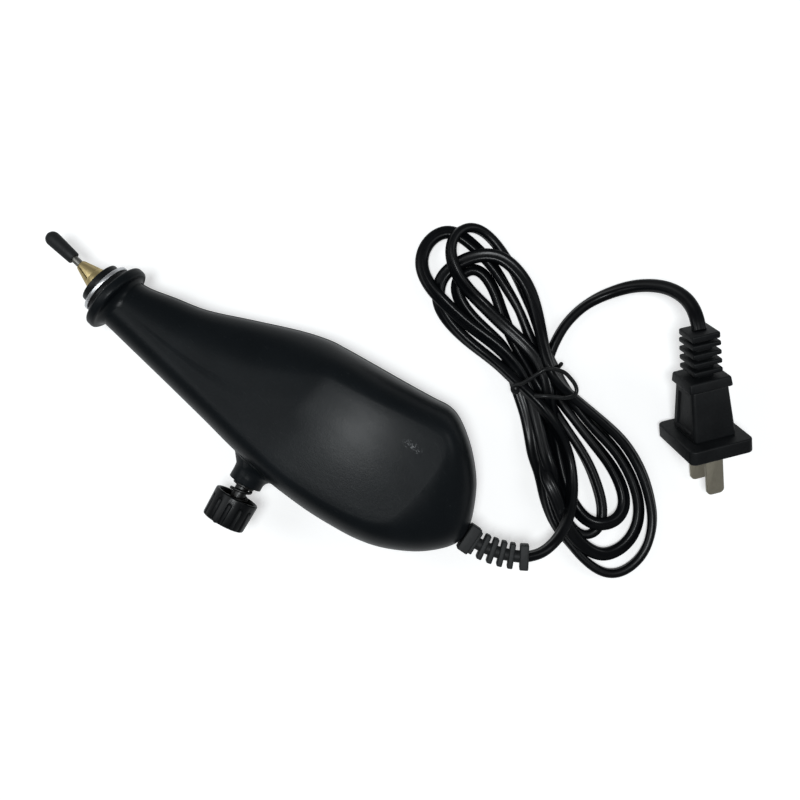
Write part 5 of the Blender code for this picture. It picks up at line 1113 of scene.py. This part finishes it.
class FINISH_OT_housing(bpy.types.Operator):
    """Both halves of the housing, with the nose flange and the adjuster's boss"""
    bl_idname = "engraving_pen.housing"
    bl_label = "Housing"

    def execute(self, context):
        sizes = context.scene.engraving_pen_housing
        for name, node, side, outset in (("housing_upper_half", "upper_shell", 1, 0.0),
                                         ("housing_lower_half", "lower_shell", -1, SEAM_STEP)):
            piece = half_housing(name, side, outset, sizes.wall / MM)
            rounded(piece, sizes.edge, 50, 2)
            if side < 0:
                piece = with_screw_seats(piece)
            finished(piece, name, "housing_plastic", (node,), PEN, angle=40)
        middle = sizes.flange / MM - BEAD
        profile = [(9.5, NOSE_BORE), (9.5, NECK_RADIUS)]
        profile += arc((4.9, middle), (3.6, NECK_RADIUS - middle), 90, 171, 9)
        profile += arc((0.1, middle), (BEAD, BEAD), 0, 90, 6)
        profile += arc((-BEAD, middle), (BEAD, BEAD), 90, 180, 6)
        profile += [(-2 * BEAD, 7.4), (-6.0, 7.4), (-6.0, NOSE_BORE), (9.5, NOSE_BORE)]
        finished(turned(profile, 96), "nose_flange", "housing_plastic", (), NOSE, angle=32)
        boss = turned([(-9.0, 6.15), (-0.35, 6.15), (-0.10, 6.05), (0, 5.8), (0, 4.0),
                       (-6.0, 4.0), (-9.0, 4.0), (-9.0, 6.15)], 72)
        finished(boss, "adjuster_boss", "housing_plastic", (), ADJUSTER, angle=32)
        finished(boss_skirt(), "adjuster_boss_skirt", "housing_plastic", (), PEN, angle=50)
        return {"FINISHED"}


def with_screw_seats(piece):
    """Sinks the three screws' seats into the lower half and lines each with a post."""
    cutter = turned([(-24, 3.2), (-5, 3.2)], 32)
    post = turned([(-20.6, 3.2), (-20.6, 4.4), (-0.6, 4.4), (-0.6, 1.7), (-12.0, 1.7),
                   (-12.0, 3.2), (-20.6, 3.2)], 32)
    skin = whole_half("skin", -1, 0.6)
    posts = []
    for along, across in SCREW_SHARES:
        place = Matrix.Translation((along * HOUSING_LENGTH * MM, across * HOUSING_WIDTH * MM, 0))
        cut(piece, copied(cutter, place))
        posts.append(copied(post, place))
        cut(posts[-1], copied(skin, Matrix()), "INTERSECT")
    for pattern in (cutter, post, skin):
        bpy.data.objects.remove(pattern)
    return joined([piece] + posts, "housing_lower_half")


# Nose: washer, ring, cap, chuck, needle and its slip-on cap

# Name, material, node, body, shading angle, steps, edge, its segments and (along, radius) in mm
NOSE_PIECES = (
    ("nose_black_washer", "cap_plastic", "nose_washer", "housing", 35, 80, 0.25, 3,
     ring_profile(-4.5, -2.7, 7.55, 9.3)),
    ("nose_bright_ring", "bright_steel", "nose_clamp_ring", "housing", 35, 80, 0.28, 3,
     ring_profile(-6.0, -4.7, 7.6, 9.9)),
    ("nose_end_cap", "cap_plastic", "nose_cap", "housing", 35, 80, 0.6, 4,
     [(-8.9, 5.2), (-8.9, 8.0), (-6.3, 8.0), (-6.3, 5.95), (-2.4, 5.95), (-2.4, 5.2),
      (-8.9, 5.2)]),
    ("brass_chuck", "brass", "needle_chuck", "chuck", 30, 64, 0.10, 2,
     [(-17.9, 1.5), (-17.9, 1.75), (-17.2, 2.05), (-12.0, 3.75), (-11.7, 3.75), (-11.4, 3.95),
      (-8.7, 4.7), (-7.6, 4.7), (-7.5, 4.5), (-1.9, 4.5), (-1.9, 2.6), (-7.2, 2.6),
      (-7.2, 1.5), (-17.9, 1.5)]),
    ("needle_shank", "needle_steel", "needle", "needle_body", 25, 40, 0.0, 3,
     [(-33.0, 0.14), (-32.85, 0.20), (-30.2, 1.36), (-29.9, 1.40), (-7.6, 1.40)]),
    ("soft_tip_cap", "black_rubber", "tip_cap", "needle_cap", 35, 56, 0.0, 3,
     [(-33.4, 0.35), (-33.1, 0.8), (-30.3, 1.46), (-21.0, 1.46), (-21.05, 2.14),
      (-21.3, 2.30), (-24.0, 2.42), (-28.0, 2.60)]
     + arc((-31.25, 0), (2.72, 2.72), 90, 174, 7)),
)
JAW_TURNS = (25, 115)
JAW_SLOT = (-18.2, -11.9, (0.42, 12))


class FINISH_OT_nose(bpy.types.Operator):
    """Washer, bright ring, end cap, brass chuck, needle and slip-on cap"""
    bl_idname = "engraving_pen.nose"
    bl_label = "Nose"

    def execute(self, context):
        for name, material, node, body, angle, steps, edge, segments, profile in NOSE_PIECES:
            piece = turned(profile, steps, edge, segments)
            if name == "brass_chuck":
                for turn in JAW_TURNS:
                    cut(piece, turn_about(block(*JAW_SLOT), math.radians(turn)))
            finished(piece, name, material, (node,), NOSE, body, angle)
        return {"FINISHED"}


# Adjuster: fluted knob, screw and spring, along from the boss in mm

KNOB_FOOT = 5.2
KNOB_END = KNOB_FOOT + 10.7
KNOB_HOLLOW_END = KNOB_END - 2.7
SPRING_LOW, SPRING_HIGH = 0.15, KNOB_HOLLOW_END - 3.45
SPRING_RADIUS = 3.5
SPRING_TURNS, END_TURNS = 2.7, 0.6
STEPS_A_TURN = 40


def coil(wire_radius):
    """The spring's line: one closed turn at each end and open turns between them."""
    rows = []
    low, high = SPRING_LOW * MM + wire_radius, SPRING_HIGH * MM - wire_radius
    for step in range(int((SPRING_TURNS + 2 * END_TURNS) * STEPS_A_TURN) + 1):
        turn = step / STEPS_A_TURN
        share = min(max((turn - END_TURNS) / SPRING_TURNS, 0), 1)
        angle = 2 * math.pi * turn
        rows.append(Vector((SPRING_RADIUS * MM * math.cos(angle),
                            SPRING_RADIUS * MM * math.sin(angle), low + (high - low) * share)))
    return rows


class FINISH_OT_adjuster(bpy.types.Operator):
    """Fluted knob, its screw and the spring round it"""
    bl_idname = "engraving_pen.adjuster"
    bl_label = "Adjuster"

    def execute(self, context):
        sizes = context.scene.engraving_pen_knob
        radius, flute_radius = sizes.radius / MM, sizes.flute / MM
        knob = turned([(KNOB_FOOT, radius - 1.4), (KNOB_FOOT, radius), (KNOB_END, radius - 0.3),
                       (KNOB_END, 2.75), (KNOB_HOLLOW_END, 2.75),
                       (KNOB_HOLLOW_END, radius - 1.55), (KNOB_FOOT, radius - 1.4)],
                      144, 0.55, 4)
        flute = turned([(7.45, 0.42), (7.62, 0.74), (8.1, 0.95), (8.6, flute_radius),
                        (20, flute_radius)], 20)
        out = Matrix.Translation(((radius + 0.12) * MM, 0, 0))
        flutes = [copied(flute, Matrix.Rotation(2 * math.pi * step / sizes.flutes, 4, "Z") @ out)
                  for step in range(sizes.flutes)]
        bpy.data.objects.remove(flute)
        cut(knob, joined(flutes, "flutes"))
        rounded(knob, 0.14 * MM, 32, 2)
        finished(knob, "fluted_knob", "knob_plastic", ("adjuster_knob",), ADJUSTER, "adjuster",
                 32)
        screw = turned([(-10.9, 1.2), (-6.9, 1.35), (-6.5, 2.5), (KNOB_END - 1.1, 2.5),
                        (KNOB_END - 0.9, 2.3)], 48, 0.1, 2)
        cut(screw, turn_about(block(KNOB_END - 1.6, KNOB_END + 1, (0.7, 8)), 0.7))
        finished(screw, "adjuster_steel_screw", "black_oxide", ("adjuster_screw",), ADJUSTER,
                 "adjuster", 30)
        wire_radius = sizes.spring_wire / 2
        spring = wire("adjuster_coil_spring", [ADJUSTER @ row for row in coil(wire_radius)],
                      wire_radius, 14)
        finished(spring, "adjuster_coil_spring", "black_oxide", ("adjuster_spring",), angle=60)
        return {"FINISHED"}


# Strain relief at the pen: place, thickness, width, height and rounding of each block in mm

RELIEF_BLOCKS = [(1.2, 4.2, 10.3, 7.8, 0.5), (3.6, 1.5, 8.8, 7.0, 0.4)]
RELIEF_BLOCKS += [(7.1 + 3.45 * step, 2.0, 9.3 - 0.1 * step, 6.4, 0.5) for step in range(4)]
RELIEF_BLOCKS += [(22.0, 3.2, 9.0, 6.6, 0.5)]
RELIEF_CORE_LENGTH = 22
RELIEF_CORE_RADIUS = 2.2


class FINISH_OT_relief(bpy.types.Operator):
    """Ribbed strain relief where the cord leaves the housing"""
    bl_idname = "engraving_pen.relief"
    bl_label = "Strain relief"

    def execute(self, context):
        along_run = Matrix(((0, 0, 1, 0), (1, 0, 0, 0), (0, 1, 0, 0), (0, 0, 0, 1)))
        parts = []
        for distance, thickness, width, height, rounding in RELIEF_BLOCKS:
            part = block(-thickness / 2, thickness / 2, (width, height), rounding=rounding)
            part.data.transform(relief_place(distance) @ along_run)
            parts.append(part)
        line = [relief_place(RELIEF_CORE_LENGTH * step / 30).translation for step in range(31)]
        parts.append(wire("relief_core", line, RELIEF_CORE_RADIUS * MM, 28))
        finished(joined(parts, "ribbed_relief"), "ribbed_relief", "black_rubber",
                 ("strain_relief",), angle=38)
        return {"FINISHED"}


# Plug: body, flange, ribbed relief and blades

PLUG_PIECES = ["plug_moulding", "plug_blade_upper", "plug_blade_lower"]
BLADE_ROOT, BLADE_TIP = -6.0, 18.0
BLADE_ASIDE = 6.35
FLANGE_CORNER = 2.4
PANEL_MARGIN, PANEL_SLOPE, PANEL_DEPTH = 1.7 * MM, 0.35 * MM, 0.6 * MM
# Low, high, size, end size and rounding of flange, body and each block behind them, in mm
PLUG_FLANGE = (-5.0, 0.4, (23.6, 28.4))
PLUG_BODY = (-24.2, -4.6, (13.8, 13.6), (15.8, 18.2))
PLUG_BLOCKS = [(-27.4, -23.6, (15.4, 14.4), (16.2, 15.4), 0.7),
               (-43.6, -26.8, (6.0, 6.4), (7.0, 7.2), 1.2)]
PLUG_BLOCKS += [(-30.8 - 3.3 * step, -29.0 - 3.3 * step, (10.8 - 0.1 * step, 11.6 - 0.1 * step),
                 None, 0.55) for step in range(4)]
PLUG_BLOCKS += [(-44.0, -41.6, (10.3, 11.0), None, 0.6)]


def sunk_panel(piece, side):
    """Sinks a panel into one long side face of the plug's body."""
    for face in piece.data.polygons:
        face.select = (face.normal.x * side > 0.8 and face.area > 40 * MM * MM
                       and -20 * MM < face.center.z < -6 * MM)
    for item in (*piece.data.edges, *piece.data.vertices):
        item.select = False
    edit(piece, "FACE")
    bpy.ops.mesh.inset(thickness=PANEL_MARGIN, depth=0)
    bpy.ops.mesh.inset(thickness=PANEL_SLOPE, depth=-PANEL_DEPTH)
    done()


class FINISH_OT_plug(bpy.types.Operator):
    """Moulded plug with its flange, ribbed relief and two flat blades"""
    bl_idname = "engraving_pen.plug"
    bl_label = "Plug"

    def execute(self, context):
        sizes = context.scene.engraving_pen_plug
        flange = block(*PLUG_FLANGE)
        bevelled(flange, lambda first, second: abs(first.z - second.z) > 1 * MM,
                 FLANGE_CORNER * MM, 10)
        rounded(flange, sizes.rounding, 50, 4)
        body = block(*PLUG_BODY)
        rounded(body, 1.3 * MM, 50, 5)
        for side in (1, -1):
            sunk_panel(body, side)
        parts = [flange, body] + [block(*values) for values in PLUG_BLOCKS]
        finished(joined(parts, "plug_moulding"), "plug_moulding", "plug_plastic",
                 ("plug_body",), PLUG, angle=38)
        blade = block(BLADE_ROOT, BLADE_TIP,
                      (sizes.blade_width / MM, sizes.blade_thickness / MM))
        tip = (BLADE_TIP - 0.1) * MM
        bevelled(blade, lambda first, second: (min(first.z, second.z) > tip
                                               and abs(first.x - second.x) < 0.1 * MM),
                 sizes.blade_end, 8)
        rounded(blade, 0.22 * MM, 40, 2)
        twin = copied(blade, Matrix.Translation((0, -BLADE_ASIDE * MM, 0)))
        blade.data.transform(Matrix.Translation((0, BLADE_ASIDE * MM, 0)))
        for piece, name, node in ((blade, "plug_blade_upper", "plug_blade_1"),
                                  (twin, "plug_blade_lower", "plug_blade_2")):
            finished(piece, name, "blade_metal", (node,), PLUG, angle=30)
        return {"FINISHED"}


# Pieces inside and underneath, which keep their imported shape, by material

INSIDE = {
    "dark_steel": ("drive_shaft", "shaft_nut", "armature", "armature_pin", "magnet_core",
                   "side_plate_upper", "side_plate_lower", "magnet_screw_1", "magnet_screw_2",
                   "cord_clamp", "clamp_screw_1", "clamp_screw_2", "shell_screw_1",
                   "shell_screw_2", "shell_screw_3", "adjuster_washer"),
    "bright_steel": ("return_spring",),
    "brass": ("front_bush", "rear_bush", "adjuster_insert"),
    "bobbin_plastic": ("coil_bobbin",),
    "cord_black": ("inner_cord", "coil_lead_1", "coil_lead_2"),
    "copper_winding": ("coil_winding",),
}


class FINISH_OT_inside(bpy.types.Operator):
    """Materials of the pieces inside the housing and of the screws underneath"""
    bl_idname = "engraving_pen.inside"
    bl_label = "Inside pieces"

    def execute(self, context):
        for material, names in INSIDE.items():
            for name in names:
                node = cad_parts[name]
                for slot in node.material_slots:
                    slot.material = finish(material)
                if not node.material_slots:
                    node.data.materials.append(finish(material))
        return {"FINISHED"}


class ENGRAVING_PT_panel(bpy.types.Panel):
    """Sizes, colours and pieces of the engraving pen"""
    bl_idname = "ENGRAVING_PT_panel"
    bl_label = "Engraving pen"
    bl_space_type = "VIEW_3D"
    bl_region_type = "UI"
    bl_category = "Engraving pen"

    def draw(self, context):
        for name, group in GROUPS.items():
            box = self.layout.box()
            box.label(text=name.title())
            for prop in group.__annotations__:
                box.prop(getattr(context.scene, "engraving_pen_" + name), prop)
        for operator in OPERATORS:
            self.layout.operator(operator.bl_idname)


OPERATORS = (FINISH_OT_stage, FINISH_OT_plug, FINISH_OT_cord, FINISH_OT_housing,
             FINISH_OT_nose, FINISH_OT_adjuster, FINISH_OT_relief, FINISH_OT_inside)
CLASSES = tuple(GROUPS.values()) + OPERATORS + (ENGRAVING_PT_panel,)


def register():
    for item in CLASSES:
        bpy.utils.register_class(item)
    for name, group in GROUPS.items():
        setattr(bpy.types.Scene, "engraving_pen_" + name,
                bpy.props.PointerProperty(type=group))


def unregister():
    for name in GROUPS:
        delattr(bpy.types.Scene, "engraving_pen_" + name)
    for item in reversed(CLASSES):
        bpy.utils.unregister_class(item)


def main():
    register()
    bpy.ops.engraving_pen.stage()
    bpy.ops.engraving_pen.plug()
    bpy.ops.engraving_pen.cord()
    bpy.ops.engraving_pen.housing()
    bpy.ops.engraving_pen.nose()
    bpy.ops.engraving_pen.adjuster()
    bpy.ops.engraving_pen.relief()
    bpy.ops.engraving_pen.inside()
    nothing_selected()


if __name__ == "__main__":
    main()
